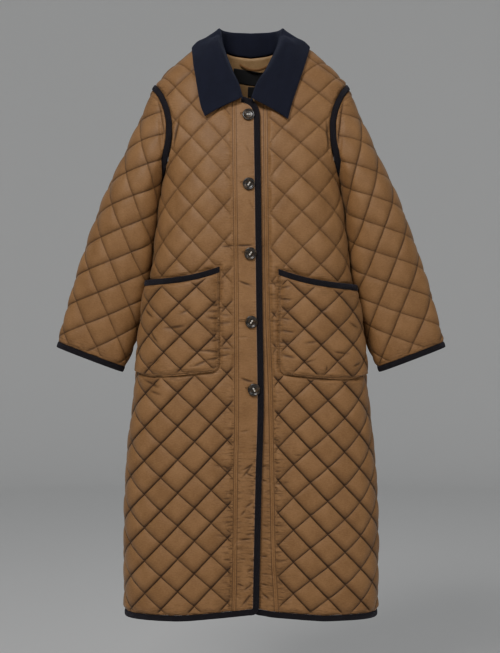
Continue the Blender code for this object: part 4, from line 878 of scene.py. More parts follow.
def pillow(name, first, second):
    """Share of a diamond's full height at each point, with every diamond a little different."""
    i, j = np.floor(first).astype(int), np.floor(second).astype(int)
    s, t = first - i, second - j
    shares = np.random.default_rng(sum(map(ord, name))).uniform(-1, 1, (4, 64, 64))
    size, lean_s, lean_t, dent = (table[i % 64, j % 64] for table in shares)

    def swell(x, lean):
        x = np.clip(x, 0, 1) ** (1 + 0.16 * lean)
        return np.clip(1 - np.abs(1 - 2 * x) ** 2.8, 0, 1) ** 0.66

    height = swell(s, lean_s) * swell(t, lean_t) * (0.88 + 0.14 * size)
    wrinkle = noise(97, first * 2.6 + dent, second * 2.6 - dent)
    return height * (1 + 0.07 * wrinkle)


def stitch_puckers(first, second):
    """Short wrinkles across the stitch lines, gathered by the sewing."""
    total = 0.0
    for along, line, seed in ((second, first, 61), (first, second, 62)):
        near = np.abs(line - np.round(line))
        gathered = np.exp(-((near / 0.085) ** 1.4))
        fine = noise(seed, along * 13, np.round(line) * 7.3) + 0.6 * noise(seed + 5, along * 24, line * 3)
        total = total + gathered * fine
    return 0.00042 * total


def edge_puckers(seed, along, aside, reach, size):
    """Wrinkles that run in from a sewn edge: along is measured on it and aside away from it."""
    long_ones = noise(seed, along / 0.0085, aside / 0.05) * np.exp(-aside / reach)
    short_ones = noise(seed + 3, along / 0.0042, aside / 0.02) * np.exp(-aside / (reach * 0.4))
    uneven = 0.55 + 0.45 * noise(seed + 7, along / 0.045)
    return size * uneven * (long_ones + 0.5 * short_ones)


# ---------------------------------------------------------------- meshes
def filled(bottom, top, left, right):
    """A grid of flat points between four edges. Rows run from left to right."""
    u = np.linspace(0, 1, len(bottom))[None, :, None]
    v = np.linspace(0, 1, len(left))[:, None, None]
    between = (1 - v) * bottom[None] + v * top[None] + (1 - u) * left[:, None] + u * right[:, None]
    corners = ((1 - u) * (1 - v) * bottom[0] + u * (1 - v) * bottom[-1]
               + (1 - u) * v * top[0] + u * v * top[-1])
    return between - corners


def grid_runs(grid):
    """Distance of a grid's points from its left and its lower edge."""
    across = np.linalg.norm(np.diff(grid, axis=1), axis=2)
    along = np.linalg.norm(np.diff(grid, axis=0), axis=2)
    return (np.concatenate([np.zeros((len(grid), 1)), np.cumsum(across, axis=1)], axis=1),
            np.concatenate([np.zeros((1, grid.shape[1])), np.cumsum(along, axis=0)], axis=0))


def edge_distance(grid):
    """Distance of a grid's points from its left, right, lower and upper edges."""
    left, low = grid_runs(grid)
    return left, left[:, -1:] - left, low, low[-1:] - low


def built(name, points, faces, materials, second=()):
    """A mesh object. Faces listed in second take the second material."""
    mesh = bpy.data.meshes.new(name + "_look")
    mesh.from_pydata(np.asarray(points).reshape(-1, 3).tolist(), [], faces)
    for name_of in materials:
        mesh.materials.append(MATERIALS[name_of])
    if len(second):
        index = np.zeros(len(faces), dtype=np.int32)
        index[second] = 1
        mesh.polygons.foreach_set("material_index", index)
    mesh.polygons.foreach_set("use_smooth", np.full(len(faces), True))
    obj = bpy.data.objects.new(name + "_look", mesh)
    bpy.context.scene.collection.objects.link(obj)
    return obj


def attribute(obj, name, values):
    """Stores three numbers on each point of a mesh for its material."""
    data = obj.data.attributes.new(name, "FLOAT_VECTOR", "POINT")
    data.data.foreach_set("vector", np.asarray(values, dtype=np.float32).reshape(-1))


def attribute_on_both(obj, name, values, inner_scale=(1, 1, 1), inner_shift=(0, 0, 0)):
    """Stores an outer grid's numbers on a shell, scaled and shifted on its inner side."""
    inner = values[::2, ::2].reshape(-1, 3) * inner_scale + inner_shift
    attribute(obj, name, np.concatenate([values.reshape(-1, 3), inner]))


def grid_faces(rows, cols, first=0, turned=False):
    i = np.arange(rows - 1)[:, None] * cols + np.arange(cols - 1)[None]
    quads = np.stack([i, i + 1, i + cols + 1, i + cols], axis=-1).reshape(-1, 4) + first
    return (quads[:, ::-1] if turned else quads).tolist()


def border(rows, cols):
    """The points round a grid, once round, starting along the first row."""
    i = np.arange(rows * cols).reshape(rows, cols)
    return np.concatenate([i[0, :-1], i[:-1, -1], i[-1, :0:-1], i[:0:-1, 0]])


def shell(name, outer, inner, materials):
    """A closed wall between an outer grid and an inner one with half its steps."""
    rows, cols = outer.shape[:2]
    low_rows, low_cols = inner.shape[:2]
    first = rows * cols
    faces = grid_faces(rows, cols)
    plain = len(faces)
    faces += grid_faces(low_rows, low_cols, first, turned=True)
    rim, low_rim = border(rows, cols), border(low_rows, low_cols) + first
    for k in range(len(low_rim)):
        a, b, c = rim[2 * k], rim[2 * k + 1], rim[(2 * k + 2) % len(rim)]
        p, q = low_rim[k], low_rim[(k + 1) % len(low_rim)]
        faces += [[int(i) for i in face] for face in ((b, a, p), (c, b, p), (c, p, q))]
    points = np.concatenate([outer.reshape(-1, 3), inner.reshape(-1, 3)])
    inside_faces = np.arange(plain, plain + (low_rows - 1) * (low_cols - 1))
    return built(name, points, faces, materials, second=inside_faces)


def looped(name, rings, material, closed=False):
    """Rings of points joined into a closed body, with ends unless it is a ring itself."""
    rings = np.asarray(rings)
    count, size = rings.shape[:2]
    faces = []
    for i in range(count if closed else count - 1):
        n = (i + 1) % count
        for j in range(size):
            k = (j + 1) % size
            faces.append([i * size + j, i * size + k, n * size + k, n * size + j])
    if not closed:
        faces += [list(range(size))[::-1], [(count - 1) * size + j for j in range(size)]]
    return built(name, rings, faces, [material])


def outwards(obj):
    """Turns a closed mesh's faces so that its volume is positive."""
    mesh = bmesh.new()
    mesh.from_mesh(obj.data)
    if mesh.calc_volume(signed=True) < 0:
        bmesh.ops.reverse_faces(mesh, faces=mesh.faces)
        mesh.to_mesh(obj.data)
    mesh.free()
    return obj


def piece(obj, slot, *nodes):
    """Puts a finished piece on the coat, in place of its CAD nodes if it has any."""
    outwards(obj)
    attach(obj, "root")
    if nodes:
        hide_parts(*nodes)
    return obj


def quilted_piece(name, grid, frame, relief, stitch=None, starts=(0.0,) * 4, blocked=1.0,
                  spots=None, gathered=0.0, strength=1.0, folded=0.0):
    """A quilted panel from a grid of flat points.

    relief is what creases and puckers take off the outer side, and stitch the signed
    distance from the nearest row of top stitching with the place along it. starts holds
    how far from each edge the wadding begins, and blocked is 0 where there is none.
    spots are the points to hand to frame, where they aren't the flat ones. gathered is
    the share of fine gathers, which also get painted shade. strength says how deep the
    quilting is and how dark its painted shade, and folded how much painted shadow a
    crease gets.
    """
    across, up = grid[..., 0], grid[..., 1]
    ones = np.ones(across.shape)
    first, second = in_quilting(name, across, up)
    quilting = blocked
    for distance, start in zip(edge_distance(grid), starts):
        quilting = quilting * smoothstep((distance - start) / PUFF_FADE)
    height = PUFF * (0.78 + 0.22 * strength) * pillow(name, first, second) * quilting
    height = height + stitch_puckers(first, second) * quilting
    spots = grid if spots is None else spots
    here, out = frame(spots[..., 0], spots[..., 1])
    outer = here + out * (height - relief)[..., None]
    base, low_out = frame(spots[::2, ::2, 0], spots[::2, ::2, 1])
    # The inner side takes the inside satin, painted lighter to stand in for light inside the neck.
    obj = shell(name, outer, base - low_out * WALL, ["quilted_satin", "inner_satin_painted_light"])
    to_row, run = (ones, up) if stitch is None else stitch
    # The quilt's third number sets how deep its painted shade is, and the stitch's third number the painted
    # shadow of creases.
    attribute_on_both(obj, "quilt", np.stack([first, second, quilting * strength], axis=-1), (1, 1, 0))
    attribute_on_both(obj, "cloth", np.stack([across, up, gathered * ones], axis=-1), (1, 1, 0.3))
    attribute_on_both(obj, "stitch", np.stack([to_row, run, folded * ones], axis=-1), (1, 1, 0), (1, 0, 0))
    return piece(obj, "quilted_satin", name)


def tape(name, inner_path, outer_path, frame, seed, closed=False, run_scale=1.0):
    """A folded bias tape between two flat paths, rounded over, gently puckered by its stitching."""
    turn = round_turns(TAPE_SIDES)
    share = 0.5 - 0.5 * signed_power(np.cos(turn), TAPE_SQUARENESS)
    half = BINDING_THICKNESS / 2
    lift = BINDING_PROUD - half + half * signed_power(np.sin(turn), TAPE_CROWN)
    run = distances(outer_path) * run_scale
    flat = inner_path[:, None] + (outer_path - inner_path)[:, None] * share[None, :, None]
    here, out = frame(flat[..., 0], flat[..., 1])
    up_side = np.clip(np.sin(turn), 0, 1)[None]
    wave = noise(seed, run / 0.011)[:, None] * 0.00035 + noise(seed + 1, run / 0.030)[:, None] * 0.0004
    groove = 0.0005 * np.exp(-(((share - 0.13) / 0.07) ** 2))[None]
    points = here + out * (lift[None] + up_side * (wave - groove))[..., None]
    obj = looped(name, points, "navy_tape", closed)
    lay = np.stack(np.broadcast_arrays(share[None] * BINDING_WIDTH, run[:, None], up_side), axis=-1)
    attribute(obj, "cloth", lay)
    return piece(obj, "navy_tape", name)


# ---------------------------------------------------------------- sleeves
def line_table(rows):
    points = np.array(rows, dtype=float)
    lengths = distances(points)
    lengths /= lengths[-1]
    return [curve_through(list(zip(lengths, points[:, i]))) for i in (0, 1)]


OUTER_LINE = line_table(SLEEVE_OUTER)
INNER_LINE = line_table(SLEEVE_INNER)
SLEEVE_FRONT = column(SLEEVE_DEPTH, "along", "front")
SLEEVE_BACK = column(SLEEVE_DEPTH, "along", "back")
SLEEVE_POWER = column(SLEEVE_DEPTH, "along", "power")


def plain_ring(turn, along):
    """Points of the left sleeve's plain tube. turn is 0 on the outer line and pi on the inner."""
    outer = np.array([line(along) for line in OUTER_LINE])
    inner = np.array([line(along) for line in INNER_LINE])
    power = SLEEVE_POWER(along)
    middle, half = (outer + inner) / 2, (outer - inner) / 2
    reach, out = signed_power(np.cos(turn), 2 / power), signed_power(np.sin(turn), 2 / power)
    depth = np.where(out > 0, SLEEVE_FRONT(along), SLEEVE_BACK(along)) * -out
    return np.stack([middle[0] + half[0] * reach, depth, middle[1] + half[1] * reach], axis=-1)


def armhole_ring(turns):
    """The body's edge at the armhole, for the left side."""
    points = np.empty((len(turns), 3))
    for face in (FRONT, BACK):
        here = (np.sin(turns) >= 0) == (face == FRONT)
        flat = np.array(armhole_path(face, np.abs(turns[here])))
        points[here] = BODY[face].points(flat[:, 0], flat[:, 1])
    return points


def set_in_direction(turn):
    """Which way the sleeve leaves the body's edge."""
    level = np.cos(turn)
    x = 0.55 + 0.45 * (1 - np.abs(level))
    z = -0.86 * np.clip(level, 0, 1) ** 1.5 + 0.40 * np.clip(-level, 0, 1)
    return unit(np.stack([x, np.zeros_like(x), z], axis=-1))


# Heights, and how far the sleeve swells towards the body at each.
SLEEVE_SWELL = ((-0.620, -0.590, -0.545, -0.500, -0.420, -0.340, -0.270, -0.220, -0.180),
                (0.0, 0.0010, 0.0095, 0.0135, 0.0140, 0.0125, 0.0100, 0.0060, 0.0005))


class Sleeve:
    """The left sleeve, looked up by turn round it and by the cloth's length up from its cuff."""

    TURNS = 241
    ALONGS = 160
    LEVELS = 260
    SPARE = 0.05  # the tables reach this far past the sleeve's cap

    def __init__(self):
        self.turns = np.linspace(-math.pi, math.pi, self.TURNS)
        start = armhole_ring(self.turns) + set_in_direction(self.turns) * (ARMHOLE_TAPE + 3 * SEAM_GAP)
        shift = start - plain_ring(self.turns, 0.0)
        rings = []
        for along in np.linspace(0, 1, self.ALONGS):
            fade = max(1 - along / CAP_BLEND, 0.0) ** 2
            rings.append(plain_ring(self.turns, along) + shift * fade)
        rings = np.array(rings)
        first = rings[0] + unit(rings[0] - rings[1]) * self.SPARE
        rings = np.concatenate([first[None], rings])
        steps = np.linalg.norm(np.diff(rings, axis=0), axis=2)[::-1]
        heights = np.concatenate([np.zeros((1, self.TURNS)), np.cumsum(steps, axis=0)])
        self.cap = heights[-2]
        self.top = float(heights[-1].max())
        levels = np.linspace(0, self.top, self.LEVELS)
        table = np.empty((self.LEVELS, self.TURNS, 4))
        for j in range(self.TURNS):
            for axis in range(3):
                table[:, j, axis] = np.interp(levels, heights[:, j], rings[::-1, j, axis])
        chords = np.linalg.norm(np.diff(table[..., :3], axis=1), axis=2)
        table[:, 0, 3] = 0
        table[:, 1:, 3] = np.cumsum(chords, axis=1)
        middle = self.TURNS // 2
        table[..., 3] -= table[:, middle:middle + 1, 3]
        self.table = table

    def looked_up(self, turn, up):
        turn, up = np.broadcast_arrays(np.asarray(turn, dtype=float), np.asarray(up, dtype=float))
        row = up / self.top * (self.LEVELS - 1)
        return Surface.looked_up(self.table, row, (turn + math.pi) / (2 * math.pi) * (self.TURNS - 1))

    def across(self, turn, up):
        """Distance round from the outer line."""
        return self.looked_up(turn, up)[..., 3]

    def frame(self, side):
        def frame(turn, up):
            here = self.looked_up(turn, up)[..., :3]
            step = 0.02
            beside = self.looked_up(np.minimum(turn + step, math.pi), up)[..., :3]
            beside = beside - self.looked_up(np.maximum(turn - step, -math.pi), up)[..., :3]
            above = self.looked_up(turn, np.asarray(up) + 0.002)[..., :3]
            above = above - self.looked_up(turn, np.maximum(np.asarray(up) - 0.002, 0))[..., :3]
            out = unit(np.cross(above, beside))
            folds = noise(31 + side, turn / 0.75, up / 0.085) + 0.5 * noise(33 + side, turn / 0.4, up / 0.04)
            still = smoothstep(up / 0.05) * smoothstep((0.43 - np.asarray(up)) / 0.10)
            beside_body = smoothstep((np.abs(turn) - 2.0) / 0.8) * np.interp(here[..., 2], *SLEEVE_SWELL)
            here = here + out * (0.0016 * folds * still + beside_body)[..., None]
            return here * [side, 1, 1], out * [side, 1, 1]

        return frame


# ---------------------------------------------------------------- materials
class Shader:
    """A Principled material, with short ways to add the nodes that feed it."""

    def __init__(self, name, roughness, specular=0.5, sheen=0.0, sheen_tint=(1, 1, 1), coat=0.0):
        self.material = bpy.data.materials.new(name)
        self.material.use_nodes = True
        self.tree = self.material.node_tree
        self.principled = self.tree.nodes["Principled BSDF"]
        for socket, value in (("Roughness", roughness), ("Specular IOR Level", specular),
                              ("Sheen Weight", sheen), ("Sheen Roughness", 0.5),
                              ("Sheen Tint", (*sheen_tint, 1)), ("Coat Weight", coat),
                              ("Coat Roughness", 0.12)):
            self.principled.inputs[socket].default_value = value
        MATERIALS[name] = self.material

    def node(self, kind, inputs=None, **settings):
        node = self.tree.nodes.new("ShaderNode" + kind)
        for name, value in settings.items():
            setattr(node, name, value)
        for name, value in (inputs or {}).items():
            self.feed(node.inputs[name], value)
        return node

    def feed(self, socket, value):
        if isinstance(value, bpy.types.NodeSocket):
            self.tree.links.new(value, socket)
        else:
            socket.default_value = value

    def maths(self, operation, *values):
        node = self.node("Math", operation=operation)
        for socket, value in zip(node.inputs, values):
            self.feed(socket, value)
        return node.outputs[0]

    plus = functools.partialmethod(maths, "ADD")
    minus = functools.partialmethod(maths, "SUBTRACT")
    times = functools.partialmethod(maths, "MULTIPLY")
    larger = functools.partialmethod(maths, "MAXIMUM")

    def ramp(self, value, low, high, to_low=0.0, to_high=1.0):
        """The value carried smoothly from one range to another."""
        node = self.node("MapRange", {"Value": value, "From Min": low, "From Max": high,
                                      "To Min": to_low, "To Max": to_high}, interpolation_type="SMOOTHSTEP")
        return node.outputs[0]

    def numbers(self, name):
        """The three numbers of a point attribute, and the attribute itself."""
        found = self.node("Attribute", attribute_name=name).outputs["Vector"]
        parts = self.node("SeparateXYZ", {"Vector": found})
        return (*parts.outputs, found)

    def grain(self, vector, scale, seed=0.0, detail=2.0):
        """Noise from 0 to 1, finer along an axis with a larger scale."""
        placed = self.node("Mapping", {"Vector": vector, "Scale": scale, "Location": (seed, seed, seed)})
        noise_node = self.node("TexNoise", {"Vector": placed.outputs[0], "Scale": 1.0, "Detail": detail,
                                            "Roughness": 0.55})
        return noise_node.outputs["Fac"]

    def mixed(self, share, first, second):
        node = self.node("Mix", data_type="RGBA")
        self.feed(node.inputs[0], share)
        self.feed(node.inputs[6], (*first, 1) if isinstance(first, tuple) else first)
        self.feed(node.inputs[7], (*second, 1) if isinstance(second, tuple) else second)
        return node.outputs[2]

    def colour(self, value):
        self.feed(self.principled.inputs["Base Color"], (*value, 1) if isinstance(value, tuple) else value)

    def bump(self, height, distance, strength=1.0):
        node = self.node("Bump", {"Height": height, "Distance": distance, "Strength": strength})
        self.feed(self.principled.inputs["Normal"], node.outputs[0])


MATERIALS = {}
SATIN_LIGHT = (0.262, 0.138, 0.058)
SATIN_DARK = (0.176, 0.088, 0.034)
# The colour that painted shade mixes towards in stitch lines, stitch rows, creases and gathers.
THREAD_SHADOW = (0.040, 0.0170, 0.0050)


def satin(name, quilted, tint=(1.0, 1.0, 1.0)):
    """Brown satin with fine slubs and gathers. Painted shade darkens its gathers, creases, stitch rows and
    quilted stitch lines, and the lower side of each quilted diamond, and a painted highlight runs along a
    placket's bound edge.
    """
    shader = Shader(name, roughness=0.52, specular=0.24, sheen=0.08, sheen_tint=(1.0, 0.84, 0.62))
    _, _, gathered, flat = shader.numbers("cloth")
    slow = shader.grain(flat, (24, 18, 1), 3.0)
    slubs = shader.grain(flat, (110, 1150, 1), 7.0, 3.0)
    mottle = shader.grain(flat, (240, 420, 1), 5.0, 3.0)
    # deep is that painted shadow colour, tinted like the rest.
    light, dark, deep = (tuple(np.multiply(colour, tint))
                         for colour in (SATIN_LIGHT, SATIN_DARK, THREAD_SHADOW))
    tone = shader.plus(shader.times(slow, 0.40), shader.times(mottle, 0.32))
    tone = shader.plus(tone, shader.times(slubs, 0.28))
    colour = shader.mixed(shader.ramp(tone, 0.32, 0.68), dark, light)
    weave = shader.plus(shader.times(slubs, 0.7), shader.times(mottle, 0.6))
    # Short strokes where the cloth gathers: they dip in the bump and get painted shade in the colour.
    strokes = shader.grain(flat, (52, 290, 1), 13.0, 3.0)
    gather_dips_and_shade = shader.times(shader.ramp(strokes, 0.50, 0.62), gathered)
    height = shader.minus(weave, shader.times(gather_dips_and_shade, 2.0))
    stitch_distance, run, crease_shade_and_edge_highlight, _ = shader.numbers("stitch")
    # Rows of top stitching: dark thread, with painted shade along their drawn-in line.
    stitches = shader.ramp(shader.maths("PINGPONG", run, 0.0016), 0.0002, 0.0007)
    row = shader.minus(1.0, shader.ramp(shader.maths("ABSOLUTE", stitch_distance), 0.0004, 0.0016))
    row = shader.times(row, shader.plus(0.45, shader.times(stitches, 0.20)))
    row = shader.larger(row, shader.times(gather_dips_and_shade, 0.72))
    if quilted:
        # Painted shade on the quilting: dark stitch lines, one family darker than the other because of where
        # the light falls, and shade spreading over the lower side of each diamond, all scaled by shown.
        rising, falling, shown, _ = shader.numbers("quilt")
        uneven = shader.ramp(shader.grain(flat, (42, 42, 1), 11.0), 0.35, 0.65, 0.72, 1.0)
        lines = []
        for family, (line, share) in enumerate(((rising, 1.0), (falling, 0.80))):
            near = shader.maths("PINGPONG", line, 0.5)
            place = shader.maths("FRACT", line)
            thin = shader.minus(1.0, shader.ramp(near, 0.008, 0.040 - 0.006 * family))
            under = place if family == 0 else shader.minus(1.0, place)
            shade = shader.minus(1.0, shader.ramp(under, 0.0, 0.34))
            close = shader.minus(1.0, shader.ramp(under, 0.0, 0.11))
            shade = shader.maths("MULTIPLY_ADD", close, 0.42 - 0.16 * family,
                                 shader.times(shade, 0.30 - 0.10 * family))
            lines.append((shader.times(thin, share), shade))
        thin = shader.times(shader.larger(lines[0][0], lines[1][0]), uneven)
        shade = shader.plus(lines[0][1], lines[1][1])
        line = shader.times(shader.larger(thin, shade), shown)
        row = shader.larger(row, line)
        # Painted shadow in the creases.
        row = shader.larger(row, shader.times(crease_shade_and_edge_highlight, 0.8))
        height = shader.minus(height, shader.times(shader.times(thin, shown), 1.6))
    else:
        # Painted shadow in the creases, and a painted highlight in a pale colour along a bound edge.
        folded = shader.times(shader.larger(shader.times(crease_shade_and_edge_highlight, -1.0), 0.0), 0.8)
        row = shader.larger(row, folded)
        pale = shader.times(shader.ramp(crease_shade_and_edge_highlight, 0.3, 1.0), 0.5)
        colour = shader.mixed(pale, colour, (0.33, 0.24, 0.19))
    # The painted shade and the dark stitching together mix the colour towards the painted shadow colour.
    shader.colour(shader.mixed(row, colour, deep))
    shader.bump(height, 0.0006, 0.9)


def woven(name, dark, light, ribs, pitch, roughness, sheen, tint):
    """Matt cloth with fine ribs along its first direction."""
    shader = Shader(name, roughness=roughness, specular=0.25, sheen=sheen, sheen_tint=tint)
    across, along, _, flat = shader.numbers("cloth")
    slanted = shader.plus(along, shader.times(across, ribs))
    rib = shader.maths("SINE", shader.times(slanted, 2 * math.pi / pitch))
    rib = shader.maths("MULTIPLY_ADD", rib, 0.5, 0.5)
    slow = shader.grain(flat, (45, 45, 1), 2.0)
    fine = shader.grain(flat, (900, 900, 1), 4.0)
    tone = shader.plus(shader.times(rib, 0.30), shader.times(fine, 0.30))
    tone = shader.plus(tone, shader.times(slow, 0.40))
    shader.colour(shader.mixed(shader.ramp(tone, 0.25, 0.75), dark, light))
    shader.bump(shader.plus(rib, shader.times(fine, 0.5)), 0.0003, 0.8)


def horn():
    shader = Shader("horn", roughness=0.30, specular=0.45, coat=0.15)
    spot = shader.node("TexCoord").outputs["Object"]
    swirl = shader.node("TexNoise", {"Vector": spot, "Scale": 120.0, "Detail": 3.0, "Distortion": 1.6})
    shader.colour(shader.mixed(shader.ramp(swirl.outputs["Fac"], 0.42, 0.68), (0.010, 0.0070, 0.0045),
                               (0.060, 0.036, 0.016)))
    shader.bump(swirl.outputs["Fac"], 0.0001, 0.3)


def thread():
    shader = Shader("thread", roughness=0.5, specular=0.4, sheen=0.3)
    spot = shader.node("TexCoord").outputs["Object"]
    strands = shader.grain(spot, (1800, 1800, 300), 1.0)
    shader.colour(shader.mixed(shader.ramp(strands, 0.35, 0.65), (0.42, 0.36, 0.28), (0.74, 0.70, 0.62)))
    shader.bump(strands, 0.0002, 0.6)


def plain_stage(name, colour):
    shader = Shader(name, roughness=0.9, specular=0.2)
    spot = shader.node("TexCoord").outputs["Object"]
    cloud = shader.grain(spot, (0.8, 0.8, 0.8), 1.0)
    low = tuple(c * 0.97 for c in colour)
    shader.colour(shader.mixed(cloud, low, colour))


def make_materials():
    satin("quilted_satin", quilted=True)
    satin("plain_satin", quilted=False, tint=(0.99, 0.99, 0.99))
    # The inside of the coat is painted much lighter and bluer than the outside, standing in for light that
    # reaches in at the neck.
    satin("inner_satin_painted_light", quilted=False, tint=(1.46, 1.76, 2.05))
    woven("navy_tape", (0.0034, 0.0021, 0.0036), (0.0080, 0.0054, 0.0086), 0.9, 0.0009, 0.80, 0.06,
          (0.80, 0.75, 1.0))
    woven("collar_cord", (0.0037, 0.0040, 0.0110), (0.0078, 0.0086, 0.0215), 0.0, 0.0014, 0.90, 0.06,
          (0.60, 0.66, 1.0))
    woven("label_black", (0.0060, 0.0060, 0.0065), (0.0150, 0.0150, 0.0160), 0.0, 0.0007, 0.7, 0.2,
          (1.0, 1.0, 1.0))
    horn()
    thread()
    plain_stage("floor", (0.80, 0.80, 0.79))


def seam_end(side):
    """Where the seam between placket and front meets the neck."""
    return BODY[FRONT].flat(float(SEAM[side](SEAM_LIMIT_Z)), NECK_MEETING_Z)


def seam_path(side, bottom, count):
    """The seam between placket and front, from a height up to the neck."""
    heights = np.linspace(bottom, SEAM_TOP_Z, count)
    return [(float(SEAM[side](z)), float(z)) for z in heights] + [seam_end(side)]


def low_share(up):
    """0 at the hips and 1 low on the fronts, where the rows of stitching pucker most."""
    return smoothstep((-0.80 - up) / 0.15)


def deepening(up):
    """The quilting is shallow over the chest and deep from the hips down, and its painted shade is light over
    the chest and dark from the hips down.
    """
    return 0.62 + 0.63 * smoothstep((-0.38 - up) / 0.34)


def front_panel(side):
    name = "front_" + side_name(side)
    surface = BODY[FRONT]
    seam = SEAM[side]
    hem_in = BINDING_WIDTH + SEAM_GAP
    start = float(seam(HEM_Z))
    end = float(surface.girth(HEM_Z)) - SEAM_GAP / 2
    across = np.linspace(start, end, odd(end - start, PANEL_STEP))
    bottom = np.stack([across, hem_height(across) + hem_in], axis=1)
    low_rows = odd(UNDERARM_Z - HEM_Z - hem_in, PANEL_STEP) - 1
    shares = np.linspace(0, 1, low_rows, endpoint=False)
    heights = bottom[0][1] + shares * (UNDERARM_Z - bottom[0][1])
    left_low = np.stack([seam(heights), heights], axis=1)
    heights = bottom[-1][1] + shares * (UNDERARM_Z - bottom[-1][1])
    right_low = np.stack([surface.girth(heights) - SEAM_GAP / 2, heights], axis=1)
    neck = neck_path(FRONT, float(seam(SEAM_LIMIT_Z)))
    high_rows = odd(0.32, PANEL_STEP)
    left_high = spread(seam_path(side, UNDERARM_Z, 80) + neck[1:], high_rows)
    right_high = spread(armhole_path(FRONT)[::-1], high_rows)
    left = np.concatenate([left_low, left_high])
    right = np.concatenate([right_low, right_high])
    top = spread(shoulder_path(FRONT), len(bottom))
    bottom[0], bottom[-1] = left[0], right[0]
    top[0], top[-1] = left[-1], right[-1]
    grid = filled(bottom, top, left, right)
    u, w = grid[..., 0], grid[..., 1]
    pocket = next(p for p in POCKETS if p.side == side)
    outline = np.concatenate(pocket_edges(pocket))
    away = distance_to(outline, u, w)
    under = inside(outline, u, w)
    to_left, to_right, to_hem, _ = edge_distance(grid)
    from_row = np.maximum(to_left - STITCH_ROW, 0)
    outside = past_row(to_left)
    strong = 0.0014 + 0.0012 * low_share(w)
    by_armhole = smoothstep((w + 0.33) / 0.05)
    gathered = largest(
        fading(from_row, 0.016) * (0.35 + 0.65 * smoothstep((-0.60 - w) / 0.25)) * outside,
        0.8 * fading(to_hem, 0.012), 0.55 * fading(to_right, 0.014),
        0.6 * np.where(under, 0.0, fading(away, 0.012)))
    creases = creased(name, side, u, w)
    relief = (
        creases
        + edge_puckers(41 + side, w, from_row, 0.013, 1.0) * strong * outside
        + edge_puckers(44 + side, u, to_hem, 0.010, 0.0011)
        + edge_puckers(47 + side, w, to_right, 0.012, 0.0008) * (1 - by_armhole)
        + edge_puckers(50 + side, w, to_right, 0.020, 0.0012) * by_armhole
        + edge_puckers(53 + side, u + w, away, 0.010, 0.0010) * np.where(under, 0.0, 1.0)
        + seam_relief(to_left))
    return quilted_piece(
        name, grid, front_frame(side), relief, (to_left - STITCH_ROW, w), starts=(STITCH_ROW, 0.0, 0.0, 0.0),
        blocked=np.where(under, 0.0, smoothstep((away - 0.001) / 0.007)), gathered=gathered,
        strength=deepening(w), folded=fold_shadow(creases, 0.0016)), grid


def placket(side):
    name = "placket_" + side_name(side)
    seam = SEAM[side]
    path = moved_in(inside_edge(side), SEAM_GAP)
    past = np.argmax((path[:, 0] > seam(path[:, 1])) & (path[:, 1] < -1.0))
    path = path[:past]
    corner = int(np.argmin(path[:, 0] + path[:, 1]))
    limit = float(seam(SEAM_LIMIT_Z)) - 0.0005
    neck = [p for p in neck_path(FRONT, float(path[0][0]) + 0.001) if p[0] < limit]
    meeting = (float(seam(HEM_Z)), float(hem_height(seam(HEM_Z))) + BINDING_WIDTH + SEAM_GAP)
    rows = odd(1.06, 0.0017)
    cols = 23
    left = spread(np.concatenate([path[corner::-1], np.array(neck[:1])]), rows)
    right = spread([meeting] + seam_path(side, meeting[1] + 0.002, 400), rows)
    bottom = spread(np.concatenate([path[corner:], np.array([meeting])]), cols)
    top = spread(np.array(neck + [seam_end(side)]), cols)
    grid = filled(bottom, top, left, right)
    u, w = grid[..., 0], grid[..., 1]
    to_edge, to_seam, _, _ = edge_distance(grid)
    strong = 0.0008 + 0.0014 * low_share(w)
    gathered = (0.25 + 0.75 * smoothstep((-0.78 - w) / 0.12)) * fading(np.minimum(to_seam, to_edge), 0.012)
    creases = creased(name, side, u, w)
    relief = (
        creases
        + edge_puckers(71 + side, w, np.maximum(to_seam - STITCH_ROW, 0), 0.008, 1.0) * strong
        + edge_puckers(74 + side, w, to_edge, 0.014, 1.0) * strong
        + seam_relief(to_seam))
    still = smoothstep((to_seam - 0.5 * STITCH_ROW) / STITCH_ROW) * smoothstep(to_edge / 0.003)
    relief = relief * (0.15 + 0.85 * still)
    here, out = front_frame(side)(u, w)
    base, low_out = front_frame(side)(u[::2, ::2], w[::2, ::2])
    obj = shell(name, here - out * relief[..., None], base - low_out * PLACKET_WALL,
                ["plain_satin", "plain_satin"])
    # A painted highlight along the bound edge, and painted shadow in the creases.
    pale = 1 - np.clip(to_edge / 0.0028, 0, 1)
    dark = fold_shadow(creases)
    rows_of = np.stack([to_seam - STITCH_ROW, w, np.where(dark > 0.05, -dark, pale)], axis=-1)
    attribute_on_both(obj, "stitch", rows_of, inner_shift=(1, 0, 0))
    attribute_on_both(obj, "cloth", np.stack([u, w, gathered * past_row(to_seam)], axis=-1))
    return piece(obj, "plain_satin", name), grid


